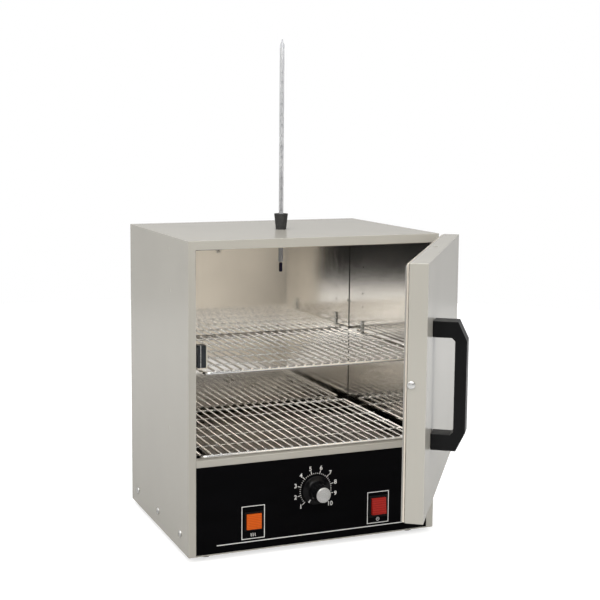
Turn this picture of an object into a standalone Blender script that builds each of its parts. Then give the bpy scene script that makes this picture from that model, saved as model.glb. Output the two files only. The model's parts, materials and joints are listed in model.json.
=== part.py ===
"""A bench-top laboratory incubator with its door standing open.

Metres, +Z up, the door at the front (-Y). The origin is the centre of the bottom pan's underside, and the
four rubber feet reach FOOT_HEIGHT below it. Every piece is modelled where it sits. The door's pieces are
modelled with the door closed, under an empty on the hinge axis, and that empty is turned to the open pose.
"""

import math

import bmesh
import bpy
from mathutils import Matrix, Vector

# Cabinet
WIDTH = 0.350
DEPTH = 0.268
HEIGHT = 0.403
SHEET = 0.0012
GAP = 0.0003
SIDE_FLANGE = 0.010
TOP_FLANGE = 0.0115
REAR_FLANGE = 0.012
SILL_TOP = 0.1249
SILL_HEIGHT = 0.0088
SILL_LEDGE = 0.0145
HALF = WIDTH / 2
FRONT = -DEPTH / 2
REAR = DEPTH / 2
FLANGE_BACK = FRONT + SHEET

# Chamber
LINER_SHEET = 0.001
CHAMBER_HALF = 0.1642
CHAMBER_REAR = 0.118
CHAMBER_FLOOR = 0.098
CHAMBER_CEILING = 0.3908
LIP_Y = -0.1307
LIP_TOP = 0.1234
INSULATION_BOTTOM = 0.0867

# Floor baffle and heating element
BAFFLE_HALF = 0.142
BAFFLE_FRONT = -0.112
BAFFLE_REAR = 0.094
BAFFLE_Z = 0.116
BAFFLE_LIP_TOP = 0.1252
HEATER_RADIUS = 0.00325
HEATER_Z = 0.108
HEATER_LEAD_X = -0.118
HEATER_TURN_X = 0.085
HEATER_ROWS = (-0.075, -0.035, 0.005, 0.045)
HEATER_LEAD_Z = 0.078

# Shelves
WIRE_PITCH = 0.01225
WIRE_COUNT = 24
WIRE_WIDTH = 0.0024
CROSS_WIDTH = 0.003
RIM_WIDTH = 0.0040
SHELF_THICKNESS = 0.0058
SHELF_FRONT = -0.126
SHELF_REAR = 0.107
CROSS_COUNT = 4
LOWER_SHELF = (-0.0011, 0.1256)
UPPER_SHELF = (0.0034, 0.2327)

# Shelf clips
CLIP_YS = {"front": -0.086, "rear": 0.071}
CLIP_WIDTH = 0.006
CLIP_SHEET = 0.0015
CLIP_BOTTOM = 0.2309
CLIP_TOP = 0.2540
CLIP_REACH = 0.0145

# Door, closed
DOOR_INNER_Y = FRONT - 0.002
DOOR_THICKNESS = 0.0229
DOOR_BOTTOM = 0.121
DOOR_TOP = HEIGHT
DOOR_PANEL_SHEET = 0.0022
DOOR_OPEN_DEG = 54.5
DOOR_OUTER_Y = DOOR_INNER_Y - DOOR_THICKNESS
DOOR_SHELL_Y = DOOR_INNER_Y - DOOR_PANEL_SHEET - GAP
GASKET_THICKNESS = 0.0014
DOOR_TOP_HOLE_RADIUS = 0.0035

# Hinges
PIVOT = Vector((HALF + 0.005, FRONT - 0.005, 0.0))
HINGE_ZS = {"upper": 0.352, "lower": 0.172}
HINGE_LENGTH = 0.050
KNUCKLE_RADIUS = 0.0034
PIN_RADIUS = 0.0015
LEAF_SHEET = 0.0015
DOOR_LEAF_REACH = 0.0148
CABINET_LEAF_REACH = 0.0220
LEAF_TAB = 0.0037

# Handle
HANDLE_X = -0.113
HANDLE_WIDTH = 0.024
HANDLE_Z = 0.2625
HANDLE_HALF = 0.072
HANDLE_ARM = 0.018
HANDLE_STANDOFF = 0.0377
HANDLE_GRIP = 0.013
HANDLE_CHAMFER = (0.0101, 0.021)
SCREW_RADIUS = 0.0021
SCREW_HOLE = 0.0024

# Magnetic catch
CATCH_LOW = Vector((-0.1627, -0.1342, 0.2422))
CATCH_HIGH = Vector((-0.1500, -0.1200, 0.2725))
CATCH_SHEET = 0.0015
POLE_X = (-0.1591, -0.1581)

# Controls
PANEL_FRONT = FLANGE_BACK + GAP
PANEL_BACK = PANEL_FRONT + 0.0015
PANEL_HALF = 0.172
PANEL_BOTTOM = SHEET + GAP
PANEL_TOP = SILL_TOP - SILL_HEIGHT - GAP
DIAL_Z = 0.0706
SKIRT_RADIUS = 0.0193
SKIRT_FRONT = -0.1370
KNOB_FRONT = -0.1582
KNOB_BORE = 0.0033
SHAFT_RADIUS = 0.003
LAMP_X = -0.0873
LAMP_Z = 0.0388
LAMP_HALF = 0.0102
SWITCH_X = 0.0916
SWITCH_Z = 0.0385
ROCKER_HALF = (0.0103, 0.0110)
ROCKER_FRONT = -0.1372
ROCKER_BACK = -0.1285
ROCKER_PIVOT_Y = -0.1310
ROCKER_TILT_DEG = 7.0

# Thermometer
THERMOMETER = Vector((-0.002, -0.011, 0.0))
STEM_RADIUS = 0.0031
STEM_BOTTOM = 0.3578
STEM_SHOULDER = 0.6505
STEM_TOP = 0.6595
BULB_RADIUS = 0.0024
BULB_BOTTOM = 0.3445
STOPPER_BOTTOM = 0.3965
STOPPER_TOP = 0.4245
STOPPER_RADII = (0.0065, 0.0094)
PORT_RADIUS = 0.0076

# Feet, screws and cord gland
FOOT_HEIGHT = 0.007
FOOT_RADIUS = 0.007
FOOT_X = 0.146
FOOT_YS = {"front": -0.112, "rear": 0.112}
SIDE_SCREW_YS = {"front": -0.0995, "middle": 0.0, "rear": 0.0995}
SIDE_SCREW_Z = 0.022
SCREW_HEAD_RADIUS = 0.0043
SCREW_HEAD_HEIGHT = 0.0021
GLAND_X = -0.120
GLAND_Z = 0.040
GLAND_BORE = 0.004
GLAND_NECK = 0.0085
GLAND_FLANGE = 0.012

AXES = {"X": Vector((1, 0, 0)), "Y": Vector((0, 1, 0)), "Z": Vector((0, 0, 1))}

# Finishes: colour, roughness, metallic
FINISHES = {
    "beige_paint": ((0.50, 0.48, 0.42), 0.35, 0.0),
    "black_panel": ((0.012, 0.012, 0.014), 0.35, 0.0),
    "aluminium": ((0.62, 0.60, 0.56), 0.35, 1.0),
    "plated_steel": ((0.68, 0.68, 0.66), 0.25, 1.0),
    "chrome_wire": ((0.80, 0.80, 0.80), 0.15, 1.0),
    "black_plastic": ((0.015, 0.015, 0.016), 0.40, 0.0),
    "black_rubber": ((0.02, 0.02, 0.02), 0.70, 0.0),
    "grey_silicone": ((0.35, 0.34, 0.32), 0.60, 0.0),
    "insulation": ((0.75, 0.68, 0.45), 0.95, 0.0),
    "orange_lens": ((0.85, 0.20, 0.02), 0.20, 0.0),
    "red_lens": ((0.55, 0.03, 0.02), 0.20, 0.0),
    "clear_glass": ((0.85, 0.87, 0.88), 0.05, 0.0),
    "dark_liquid": ((0.02, 0.01, 0.02), 0.20, 0.0),
    "heater_sheath": ((0.20, 0.17, 0.15), 0.45, 1.0),
}


def clear_scene():
    for obj in list(bpy.data.objects):
        bpy.data.objects.remove(obj, do_unlink=True)


def material(name, finish):
    colour, roughness, metallic = FINISHES[finish]
    made = bpy.data.materials.new(name)
    made.use_nodes = True
    shader = made.node_tree.nodes["Principled BSDF"]
    shader.inputs["Base Color"].default_value = (*colour, 1.0)
    shader.inputs["Roughness"].default_value = roughness
    shader.inputs["Metallic"].default_value = metallic
    return made


def block(low, high):
    """A box between two corners."""
    bm = bmesh.new()
    bmesh.ops.create_cube(bm, size=1.0)
    low, high = Vector(low), Vector(high)
    size, centre = high - low, (low + high) / 2
    bmesh.ops.transform(bm, matrix=Matrix.Translation(centre) @ Matrix.Diagonal((*size, 1.0)), verts=bm.verts)
    return bm


def plate(centre, half, y_range):
    """A box given by its centre and half sizes in X and Z, and its extent in Y."""
    (x, z), (half_x, half_z) = centre, half
    return block((x - half_x, y_range[0], z - half_z), (x + half_x, y_range[1], z + half_z))


def rod(start, end, radius, end_radius=None, sides=20):
    """A round bar or cone between two points."""
    start, end = Vector(start), Vector(end)
    bm = bmesh.new()
    bmesh.ops.create_cone(
        bm,
        cap_ends=True,
        segments=sides,
        radius1=radius,
        radius2=radius if end_radius is None else end_radius,
        depth=(end - start).length,
    )
    turn = AXES["Z"].rotation_difference(end - start).to_matrix().to_4x4()
    bmesh.ops.transform(bm, matrix=Matrix.Translation((start + end) / 2) @ turn, verts=bm.verts)
    return bm


def turned(profile, centre, axis, sides=24):
    """A turned solid: profile is (radius, distance along the axis), from one end of the axis to the other."""
    turn = AXES["Z"].rotation_difference(AXES[axis]).to_matrix()
    bm = bmesh.new()
    rings = []
    for radius, along in profile:
        if radius == 0.0:
            rings.append([bm.verts.new(Vector(centre) + turn @ Vector((0, 0, along)))])
            continue
        angles = [2 * math.pi * i / sides for i in range(sides)]
        points = [Vector((radius * math.cos(a), radius * math.sin(a), along)) for a in angles]
        rings.append([bm.verts.new(Vector(centre) + turn @ point) for point in points])
    for lower, upper in zip(rings, rings[1:]):
        for i in range(sides):
            corners = [lower[i % len(lower)], lower[(i + 1) % len(lower)]]
            corners += [upper[(i + 1) % len(upper)], upper[i % len(upper)]]
            bm.faces.new(list(dict.fromkeys(corners)))
    bmesh.ops.recalc_face_normals(bm, faces=bm.faces)
    return bm


def prism(outline, axis, low, high):
    """An outline pushed along an axis. Its points are (Y, Z) for axis X, (X, Z) for Y and (X, Y) for Z."""
    index = "XYZ".index(axis)
    bm = bmesh.new()
    ends = []
    for along in (low, high):
        points = [list(point) for point in outline]
        for point in points:
            point.insert(index, along)
        ends.append([bm.verts.new(point) for point in points])
    bm.faces.new(ends[0])
    bm.faces.new(ends[1])
    for i in range(len(outline)):
        j = (i + 1) % len(outline)
        bm.faces.new((ends[0][i], ends[0][j], ends[1][j], ends[1][i]))
    bmesh.ops.recalc_face_normals(bm, faces=bm.faces)
    return bm


def to_object(name, bm, anchor, parent):
    """An object whose mesh is kept relative to anchor, the place of its parent or of its own origin."""
    bmesh.ops.translate(bm, vec=-Vector(anchor), verts=bm.verts)
    mesh = bpy.data.meshes.new(name)
    bm.to_mesh(mesh)
    bm.free()
    obj = bpy.data.objects.new(name, mesh)
    bpy.context.scene.collection.objects.link(obj)
    if parent is None:
        obj.location = anchor
    else:
        obj.parent = parent
    return obj


def combine(obj, shape, operation, anchor, parent):
    """Adds or cuts a shape with a Boolean modifier and a hidden helper."""
    helper = to_object(f"{obj.name}_{operation.lower()}_{len(obj.modifiers)}", shape, anchor, parent)
    helper.hide_render = True
    helper.hide_viewport = True
    helper.display_type = "WIRE"
    modifier = obj.modifiers.new(operation.title(), "BOOLEAN")
    modifier.operation = operation
    modifier.object = helper


def piece(name, finish, body, add=(), cut=(), anchor=(0, 0, 0), parent=None):
    """One sub-part: a body with shapes joined to it and cut from it."""
    obj = to_object(name, body, anchor, parent)
    obj.data.materials.append(material(name, finish))
    obj.data.shade_smooth()
    obj.data.set_sharp_from_angle(angle=math.radians(35))
    for shape in add:
        combine(obj, shape, "UNION", anchor, parent)
    for shape in cut:
        combine(obj, shape, "DIFFERENCE", anchor, parent)
    return obj


def tube(name, finish, points, radius, sides_half=2):
    """A round tube along points, each (x, y, z) or (x, y, z, radius factor)."""
    curve = bpy.data.curves.new(name, "CURVE")
    curve.dimensions = "3D"
    curve.bevel_depth = radius
    curve.bevel_resolution = sides_half
    curve.use_fill_caps = True
    spline = curve.splines.new("POLY")
    spline.points.add(len(points) - 1)
    for target, point in zip(spline.points, points):
        target.co = (*point[:3], 1.0)
        target.radius = point[3] if len(point) > 3 else 1.0
    curve.materials.append(material(name, finish))
    obj = bpy.data.objects.new(name, curve)
    bpy.context.scene.collection.objects.link(obj)
    return obj


def port_hole(low, high, radius=PORT_RADIUS):
    """The thermometer port's hole between two heights."""
    return rod((*THERMOMETER.xy, low), (*THERMOMETER.xy, high), radius, sides=24)


def side_screw_holes():
    reach = HALF + 0.01
    return [
        rod((side * (HALF - 0.01), y, SIDE_SCREW_Z), (side * reach, y, SIDE_SCREW_Z), SCREW_HOLE, sides=12)
        for side in (-1, 1)
        for y in SIDE_SCREW_YS.values()
    ]


def cabinet_shell():
    inside = block((SHEET - HALF, FLANGE_BACK, -0.01), (HALF - SHEET, REAR - 0.0027, HEIGHT - SHEET))
    front_opening = block(
        (SIDE_FLANGE - HALF, FRONT - 0.01, -0.01), (HALF - SIDE_FLANGE, 0.0, HEIGHT - TOP_FLANGE)
    )
    rear_opening = block(
        (REAR_FLANGE - HALF, 0.0, -0.01), (HALF - REAR_FLANGE, REAR + 0.01, HEIGHT - REAR_FLANGE)
    )
    cover_seat = block(
        (SHEET - HALF, REAR - 0.0015, -0.01), (HALF - SHEET, REAR + 0.01, HEIGHT - SHEET)
    )
    piece(
        "cabinet_shell",
        "beige_paint",
        block((-HALF, FRONT, 0.0), (HALF, REAR, HEIGHT)),
        cut=[inside, front_opening, rear_opening, cover_seat, port_hole(0.39, 0.41), *side_screw_holes()],
    )


def back_cover():
    edge = HALF - SHEET - GAP
    piece(
        "back_cover",
        "beige_paint",
        block((-edge, REAR - SHEET, 0.0015), (edge, REAR, HEIGHT - SHEET - GAP)),
        cut=[rod((GLAND_X, 0.12, GLAND_Z), (GLAND_X, 0.15, GLAND_Z), GLAND_NECK + GAP, sides=24)],
    )


def bottom_pan():
    edge = HALF - SHEET - GAP
    front, rear = PANEL_BACK + GAP, REAR - 0.0030
    side_height, rear_height = 0.030, 0.012
    hollow = block(
        (SHEET - edge, front - 0.01, SHEET), (edge - SHEET, rear - SHEET, side_height + 0.01)
    )
    front_lip = block((SIDE_FLANGE + GAP - HALF, FRONT, 0.0), (HALF - SIDE_FLANGE - GAP, front + 0.01, SHEET))
    over_rear = block((-edge - 0.01, rear - 0.002, rear_height), (edge + 0.01, rear + 0.01, 0.05))
    vents = [
        block((x - 0.022, y - 0.0025, -0.01), (x + 0.022, y + 0.0025, 0.01))
        for x in (-0.075, 0.075)
        for y in (-0.03, 0.0, 0.03)
    ]
    piece(
        "bottom_pan",
        "beige_paint",
        block((-edge, front, 0.0), (edge, rear, side_height)),
        add=[front_lip],
        cut=[hollow, over_rear, *vents, *side_screw_holes()],
    )


def sill_rail():
    """The strip between the side flanges under the door's opening, with a ledge folded back from its top."""
    strip = HALF - SIDE_FLANGE - GAP
    ledge = CHAMBER_HALF - GAP
    piece(
        "sill_rail",
        "beige_paint",
        block((-strip, FRONT, SILL_TOP - SILL_HEIGHT), (strip, FLANGE_BACK, SILL_TOP)),
        add=[block((-ledge, FRONT, SILL_TOP - SHEET), (ledge, FRONT + SILL_LEDGE, SILL_TOP))],
    )


def control_panel():
    through = (PANEL_FRONT - 0.01, PANEL_BACK + 0.01)
    lamp_hole = plate((LAMP_X, LAMP_Z), (0.0103, 0.0103), through)
    switch_hole = plate((SWITCH_X, SWITCH_Z), (0.0120, 0.0135), through)
    shaft_hole = rod((0, through[0], DIAL_Z), (0, through[1], DIAL_Z), 0.0048)
    piece(
        "control_panel",
        "black_panel",
        block((-PANEL_HALF, PANEL_FRONT, PANEL_BOTTOM), (PANEL_HALF, PANEL_BACK, PANEL_TOP)),
        cut=[lamp_hole, switch_hole, shaft_hole],
    )


def heater_lead_holes(low, high, radius=0.0045):
    """Holes for the element's two ends."""
    rows = (HEATER_ROWS[0], HEATER_ROWS[-1])
    return [rod((HEATER_LEAD_X, y, low), (HEATER_LEAD_X, y, high), radius) for y in rows]


def chamber_liner():
    outer = CHAMBER_HALF + LINER_SHEET
    hollow = block(
        (-CHAMBER_HALF, LIP_Y + LINER_SHEET, CHAMBER_FLOOR), (CHAMBER_HALF, CHAMBER_REAR, CHAMBER_CEILING)
    )
    mouth = block((-CHAMBER_HALF, FRONT, LIP_TOP), (CHAMBER_HALF, LIP_Y + 0.01, CHAMBER_CEILING))
    below_mouth = block((-0.2, FRONT, 0.09), (0.2, LIP_Y, LIP_TOP))
    capillary_hole = rod((0.135, 0.090, 0.09), (0.135, 0.090, 0.105), 0.0025, sides=12)
    piece(
        "chamber_liner",
        "aluminium",
        block(
            (-outer, FLANGE_BACK + 2 * GAP, CHAMBER_FLOOR - LINER_SHEET),
            (outer, CHAMBER_REAR + LINER_SHEET, CHAMBER_CEILING + LINER_SHEET),
        ),
        cut=[
            hollow,
            mouth,
            below_mouth,
            port_hole(0.37, 0.40),
            capillary_hole,
            *heater_lead_holes(0.09, 0.105),
        ],
    )


def insulation():
    outer = HALF - SHEET - GAP
    inner = CHAMBER_HALF + LINER_SHEET + GAP
    top, under_top = HEIGHT - SHEET - GAP, CHAMBER_CEILING + LINER_SHEET + GAP
    front, rear = PANEL_BACK + GAP, CHAMBER_REAR + LINER_SHEET
    piece(
        "insulation_wrap",
        "insulation",
        block((-outer, front, CHAMBER_FLOOR), (outer, rear, top)),
        cut=[block((-inner, front - 0.01, 0.0), (inner, rear + 0.01, under_top)), port_hole(0.38, 0.41)],
    )
    piece(
        "insulation_back",
        "insulation",
        block((-CHAMBER_HALF, rear + GAP, CHAMBER_FLOOR), (CHAMBER_HALF, REAR - 0.0030, CHAMBER_CEILING)),
    )
    capillary_hole = rod((0.135, 0.090, 0.08), (0.135, 0.090, 0.105), 0.0025, sides=12)
    piece(
        "insulation_floor",
        "insulation",
        block((-CHAMBER_HALF, LIP_Y + 2 * GAP, INSULATION_BOTTOM), (CHAMBER_HALF, CHAMBER_REAR, 0.0967)),
        cut=[capillary_hole, *heater_lead_holes(0.08, 0.105)],
    )


def floor_baffle():
    """The plate over the heating element, on folded legs. Its rear lip and side lips hold the lower shelf."""
    sheet = LINER_SHEET
    floor = CHAMBER_FLOOR + GAP
    rear_leg = BAFFLE_REAR - 0.012
    outline = [
        (BAFFLE_FRONT, floor),
        (BAFFLE_FRONT + sheet, floor),
        (BAFFLE_FRONT + sheet, BAFFLE_Z),
        (rear_leg, BAFFLE_Z),
        (rear_leg, floor),
        (rear_leg + sheet, floor),
        (rear_leg + sheet, BAFFLE_Z),
        (BAFFLE_REAR, BAFFLE_Z),
        (BAFFLE_REAR, BAFFLE_LIP_TOP),
        (BAFFLE_REAR - sheet, BAFFLE_LIP_TOP),
        (BAFFLE_REAR - sheet, BAFFLE_Z + sheet),
        (BAFFLE_FRONT, BAFFLE_Z + sheet),
    ]
    side_lips = [
        block((edge, BAFFLE_FRONT, BAFFLE_Z), (edge + sheet, BAFFLE_REAR - 0.004, BAFFLE_LIP_TOP))
        for edge in (-BAFFLE_HALF, BAFFLE_HALF - sheet)
    ]
    plate_shape = prism(outline, "X", -BAFFLE_HALF, BAFFLE_HALF)
    piece("floor_baffle", "aluminium", plate_shape, add=side_lips)


def heater_elbow(y):
    """A lead that rises through the floor, and its quarter turn into the row at y."""
    radius = 0.008
    points = [(HEATER_LEAD_X, y, HEATER_LEAD_Z)]
    for i in range(5):
        angle = math.pi / 2 * i / 4
        x = HEATER_LEAD_X + radius * (1 - math.cos(angle))
        points.append((x, y, HEATER_Z - radius * (1 - math.sin(angle))))
    return points


def heater_route():
    """The element's centre line: rows joined by half circles, both ends turned down through the floor."""
    steps = 6
    points = heater_elbow(HEATER_ROWS[0])
    for turn, (near, far) in enumerate(zip(HEATER_ROWS, HEATER_ROWS[1:])):
        side = 1 if turn % 2 == 0 else -1
        radius = (far - near) / 2
        for i in range(steps + 1):
            angle = math.pi * (i / steps - 0.5)
            x = side * (HEATER_TURN_X + radius * math.cos(angle))
            points.append((x, near + radius + radius * math.sin(angle), HEATER_Z))
    return points + heater_elbow(HEATER_ROWS[-1])[::-1]


def heating_element():
    tube("heating_element", "heater_sheath", heater_route(), HEATER_RADIUS)


def wire_shelf(name, place):
    """A lattice of straight bars in one layer: the rim, the cross bars and the long bars on WIRE_PITCH."""
    centre_x, bottom = place
    side = (WIRE_COUNT + 1) / 2 * WIRE_PITCH
    wires = [((i - (WIRE_COUNT - 1) / 2) * WIRE_PITCH, WIRE_WIDTH) for i in range(WIRE_COUNT)]
    bars_x = [(-side, RIM_WIDTH), *wires, (side, RIM_WIDTH)]
    spacing = (SHELF_REAR - SHELF_FRONT) / (CROSS_COUNT + 1)
    crosses = [(SHELF_FRONT + spacing * (i + 1), CROSS_WIDTH) for i in range(CROSS_COUNT)]
    bars_y = [(SHELF_FRONT, RIM_WIDTH), *crosses, (SHELF_REAR, RIM_WIDTH)]
    xs = [edge for middle, width in bars_x for edge in (middle - width / 2, middle + width / 2)]
    ys = [edge for middle, width in bars_y for edge in (middle - width / 2, middle + width / 2)]
    bm = bmesh.new()
    grid = [[bm.verts.new((centre_x + x, y, bottom)) for y in ys] for x in xs]
    for i in range(len(xs) - 1):
        for j in range(len(ys) - 1):
            if i % 2 == 0 or j % 2 == 0:
                bm.faces.new((grid[i][j], grid[i][j + 1], grid[i + 1][j + 1], grid[i + 1][j]))
    made = bmesh.ops.extrude_face_region(bm, geom=bm.faces[:])
    moved = [part for part in made["geom"] if isinstance(part, bmesh.types.BMVert)]
    bmesh.ops.translate(bm, vec=(0, 0, SHELF_THICKNESS), verts=moved)
    bmesh.ops.recalc_face_normals(bm, faces=bm.faces)
    piece(name, "chrome_wire", bm)


def shelf_clips():
    for side_name, side in (("left", -1), ("right", 1)):
        for end, y in CLIP_YS.items():
            wall = CHAMBER_HALF - GAP
            outline = [
                (side * wall, CLIP_BOTTOM),
                (side * wall, CLIP_TOP),
                (side * (wall - CLIP_SHEET), CLIP_TOP),
                (side * (wall - CLIP_SHEET), CLIP_BOTTOM + CLIP_SHEET),
                (side * (wall - CLIP_REACH), CLIP_BOTTOM + CLIP_SHEET),
                (side * (wall - CLIP_REACH), CLIP_BOTTOM),
            ]
            shape = prism(outline, "Y", y - CLIP_WIDTH / 2, y + CLIP_WIDTH / 2)
            piece(f"shelf_clip_{side_name}_{end}", "plated_steel", shape)


def magnetic_catch():
    low, high, sheet = CATCH_LOW, CATCH_HIGH, CATCH_SHEET
    hollow = block(
        (low.x - 0.01, low.y - 0.01, low.z + sheet), (high.x - sheet, high.y - sheet, high.z + 0.01)
    )
    piece("catch_bracket", "aluminium", block(low, high), cut=[hollow])
    bottom, top = low.z + sheet + GAP, high.z
    back = high.y - sheet - GAP
    spans = {
        "catch_magnet_left": (low.x, POLE_X[0] - GAP, "black_plastic"),
        "catch_pole_plate": (*POLE_X, "plated_steel"),
        "catch_magnet_right": (POLE_X[1] + GAP, high.x - sheet - GAP, "black_plastic"),
    }
    for name, (left, right, finish) in spans.items():
        piece(name, finish, block((left, low.y, bottom), (right, back, top)))


def thermostat():
    body = block((-0.021, PANEL_BACK + GAP, DIAL_Z - 0.021), (0.021, -0.098, DIAL_Z + 0.014))
    terminals = block((-0.014, -0.0985, DIAL_Z - 0.012), (0.014, -0.090, DIAL_Z + 0.006))
    piece("thermostat_body", "black_plastic", body, add=[terminals])
    shaft_ends = ((0, PANEL_BACK, DIAL_Z), (0, -0.1500, DIAL_Z))
    piece("thermostat_shaft", "plated_steel", rod(*shaft_ends, SHAFT_RADIUS), anchor=(0, 0, DIAL_Z))
    bulb = 2.6
    route = [
        (0.0215 + GAP, -0.110, DIAL_Z),
        (0.060, -0.110, DIAL_Z),
        (0.110, -0.095, DIAL_Z - 0.004),
        (0.132, -0.060, DIAL_Z - 0.006),
        (0.135, 0.000, DIAL_Z - 0.006),
        (0.135, 0.070, DIAL_Z - 0.006),
        (0.135, 0.084, DIAL_Z - 0.001),
        (0.135, 0.090, DIAL_Z + 0.008),
        (0.135, 0.090, 0.1035),
        (0.133, 0.0925, 0.1065),
        (0.128, 0.0940, 0.1080),
        (0.118, 0.0945, 0.1085),
        (0.114, 0.0945, 0.1085, bulb),
        (0.040, 0.0945, 0.1085, bulb),
        (0.037, 0.0945, 0.1085, 1.0),
    ]
    tube("thermostat_capillary", "plated_steel", route, 0.0011)


def dial_knob():
    back = PANEL_FRONT - GAP
    profile = [
        (0.0, back),
        (SKIRT_RADIUS - 0.0006, back),
        (SKIRT_RADIUS, back - 0.0008),
        (SKIRT_RADIUS, SKIRT_FRONT + 0.0012),
        (0.0135, SKIRT_FRONT),
        (0.0122, SKIRT_FRONT - 0.0020),
        (0.0112, KNOB_FRONT + 0.0006),
        (0.0106, KNOB_FRONT),
        (0.0, KNOB_FRONT),
    ]
    bore = rod((0, back + 0.01, DIAL_Z), (0, -0.1505, DIAL_Z), KNOB_BORE)
    anchor = (0, 0, DIAL_Z)
    piece("dial_knob", "black_plastic", turned(profile, anchor, "Y", 32), cut=[bore], anchor=anchor)
    cap = rod((0, KNOB_FRONT - GAP, DIAL_Z), (0, KNOB_FRONT - 0.0012, DIAL_Z), 0.0099, 0.0096, 32)
    piece("knob_cap", "aluminium", cap, anchor=anchor)


def pilot_lamp():
    flange = (PANEL_FRONT - 0.0018, PANEL_FRONT - GAP)
    neck = plate((LAMP_X, LAMP_Z), (0.0100, 0.0100), (flange[1] - 0.0005, -0.108))
    bezel = plate((LAMP_X, LAMP_Z), (0.0122, 0.0122), flange)
    piece("lamp_housing", "black_plastic", bezel, add=[neck])
    lens = plate((LAMP_X, LAMP_Z), (LAMP_HALF, LAMP_HALF), (flange[0] - 0.0030, flange[0] - GAP))
    piece("lamp_lens", "orange_lens", lens)


def power_switch():
    centre = (SWITCH_X, SWITCH_Z)
    flange = (PANEL_FRONT - 0.0018, PANEL_FRONT - GAP)
    neck = plate(centre, (0.0117, 0.0132), (flange[1] - 0.0005, -0.104))
    well = plate(centre, (ROCKER_HALF[0] + GAP, 0.0121), (flange[0] - 0.01, -0.1262))
    piece("switch_housing", "black_plastic", plate(centre, (0.0132, 0.0148), flange), add=[neck], cut=[well])
    pivot = Vector((SWITCH_X, ROCKER_PIVOT_Y, SWITCH_Z))
    rocker = plate(centre, ROCKER_HALF, (ROCKER_FRONT, ROCKER_BACK))
    obj = piece("power_rocker", "red_lens", rocker, anchor=pivot)
    obj.rotation_euler.x = math.radians(-ROCKER_TILT_DEG)


def terminal_block():
    slots = [block((x - 0.003, 0.078, 0.012), (x + 0.003, 0.093, 0.03)) for x in (-0.018, 0.0, 0.018)]
    piece(
        "terminal_block",
        "black_plastic",
        block((-0.028, 0.070, SHEET + GAP), (0.028, 0.088, 0.019)),
        cut=slots,
    )


def thermometer():
    base = (*THERMOMETER.xy, 0.0)
    x, y = THERMOMETER.xy
    stopper = rod((x, y, STOPPER_BOTTOM), (x, y, STOPPER_TOP), *STOPPER_RADII, 32)
    bore = rod((x, y, STOPPER_BOTTOM - 0.01), (x, y, STOPPER_TOP + 0.01), STEM_RADIUS + GAP)
    piece("rubber_stopper", "black_rubber", stopper, cut=[bore], anchor=base)
    stem = [(0.0, STEM_BOTTOM), (STEM_RADIUS, STEM_BOTTOM), (STEM_RADIUS, STEM_SHOULDER)]
    stem += [(0.0016, STEM_SHOULDER + 0.003), (0.0013, STEM_TOP), (0.0, STEM_TOP)]
    piece("thermometer_stem", "clear_glass", turned(stem, base, "Z", 16), anchor=base)
    bulb = [(0.0, BULB_BOTTOM), (0.0015, BULB_BOTTOM + 0.0004), (BULB_RADIUS, BULB_BOTTOM + 0.0020)]
    bulb += [(BULB_RADIUS, STEM_BOTTOM - 0.0015), (0.0016, STEM_BOTTOM - GAP), (0.0, STEM_BOTTOM - GAP)]
    piece("thermometer_bulb", "dark_liquid", turned(bulb, base, "Z", 16), anchor=base)


def feet():
    for side_name, x in (("left", -FOOT_X), ("right", FOOT_X)):
        for end, y in FOOT_YS.items():
            profile = [
                (0.0, -FOOT_HEIGHT),
                (FOOT_RADIUS - 0.0014, -FOOT_HEIGHT),
                (FOOT_RADIUS - 0.0008, 0.0008 - FOOT_HEIGHT),
                (FOOT_RADIUS, -GAP),
                (0.0, -GAP),
            ]
            piece(f"foot_{side_name}_{end}", "black_rubber", turned(profile, (x, y, 0), "Z"))


def screw(name, head_centre, outward, length, anchor=(0, 0, 0), parent=None):
    """A domed screw: its head stands GAP off the surface at head_centre, and its shank runs inwards."""
    outward = Vector(outward)
    seat = Vector(head_centre) + outward * GAP
    shank = rod(seat - outward * length, seat + outward * 0.0005, SCREW_RADIUS, sides=12)
    head = rod(seat, seat + outward * SCREW_HEAD_HEIGHT, SCREW_HEAD_RADIUS, SCREW_HEAD_RADIUS * 0.62, 16)
    piece(name, "plated_steel", head, add=[shank], anchor=anchor, parent=parent)


def side_screws():
    for side_name, side in (("left", -1), ("right", 1)):
        for place, y in SIDE_SCREW_YS.items():
            screw(f"side_screw_{side_name}_{place}", (side * HALF, y, SIDE_SCREW_Z), (side, 0, 0), 0.005)


def cord_gland():
    profile = [
        (0.0, REAR - 0.006),
        (GLAND_NECK, REAR - 0.006),
        (GLAND_NECK, REAR + GAP),
        (GLAND_FLANGE, REAR + GAP),
        (GLAND_FLANGE, REAR + 0.002),
        (0.0080, REAR + 0.0085),
        (0.0, REAR + 0.0085),
    ]
    bore = rod((GLAND_X, 0.12, GLAND_Z), (GLAND_X, 0.15, GLAND_Z), GLAND_BORE)
    piece("cord_gland", "black_plastic", turned(profile, (GLAND_X, 0, GLAND_Z), "Y"), cut=[bore])


def handle_outline():
    """The handle's side outline in (Y, Z), from the door's face round the grip and back through the gap."""
    face = DOOR_OUTER_Y - GAP
    outer, inner = DOOR_OUTER_Y - HANDLE_STANDOFF, DOOR_OUTER_Y - HANDLE_STANDOFF + HANDLE_GRIP
    chamfer_y, chamfer_z = HANDLE_CHAMFER
    corner = 0.0035
    reach = HANDLE_HALF - HANDLE_ARM
    upper = [
        (face, HANDLE_HALF),
        (outer + chamfer_y, HANDLE_HALF),
        (outer, HANDLE_HALF - chamfer_z),
    ]
    gap_side = [
        (face, reach),
        (inner + corner, reach),
        (inner, reach - corner),
    ]
    half = upper + [(y, -z) for y, z in reversed(upper)]
    half += [(y, -z) for y, z in gap_side] + list(reversed(gap_side))
    return [(y, HANDLE_Z + z) for y, z in half]


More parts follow.
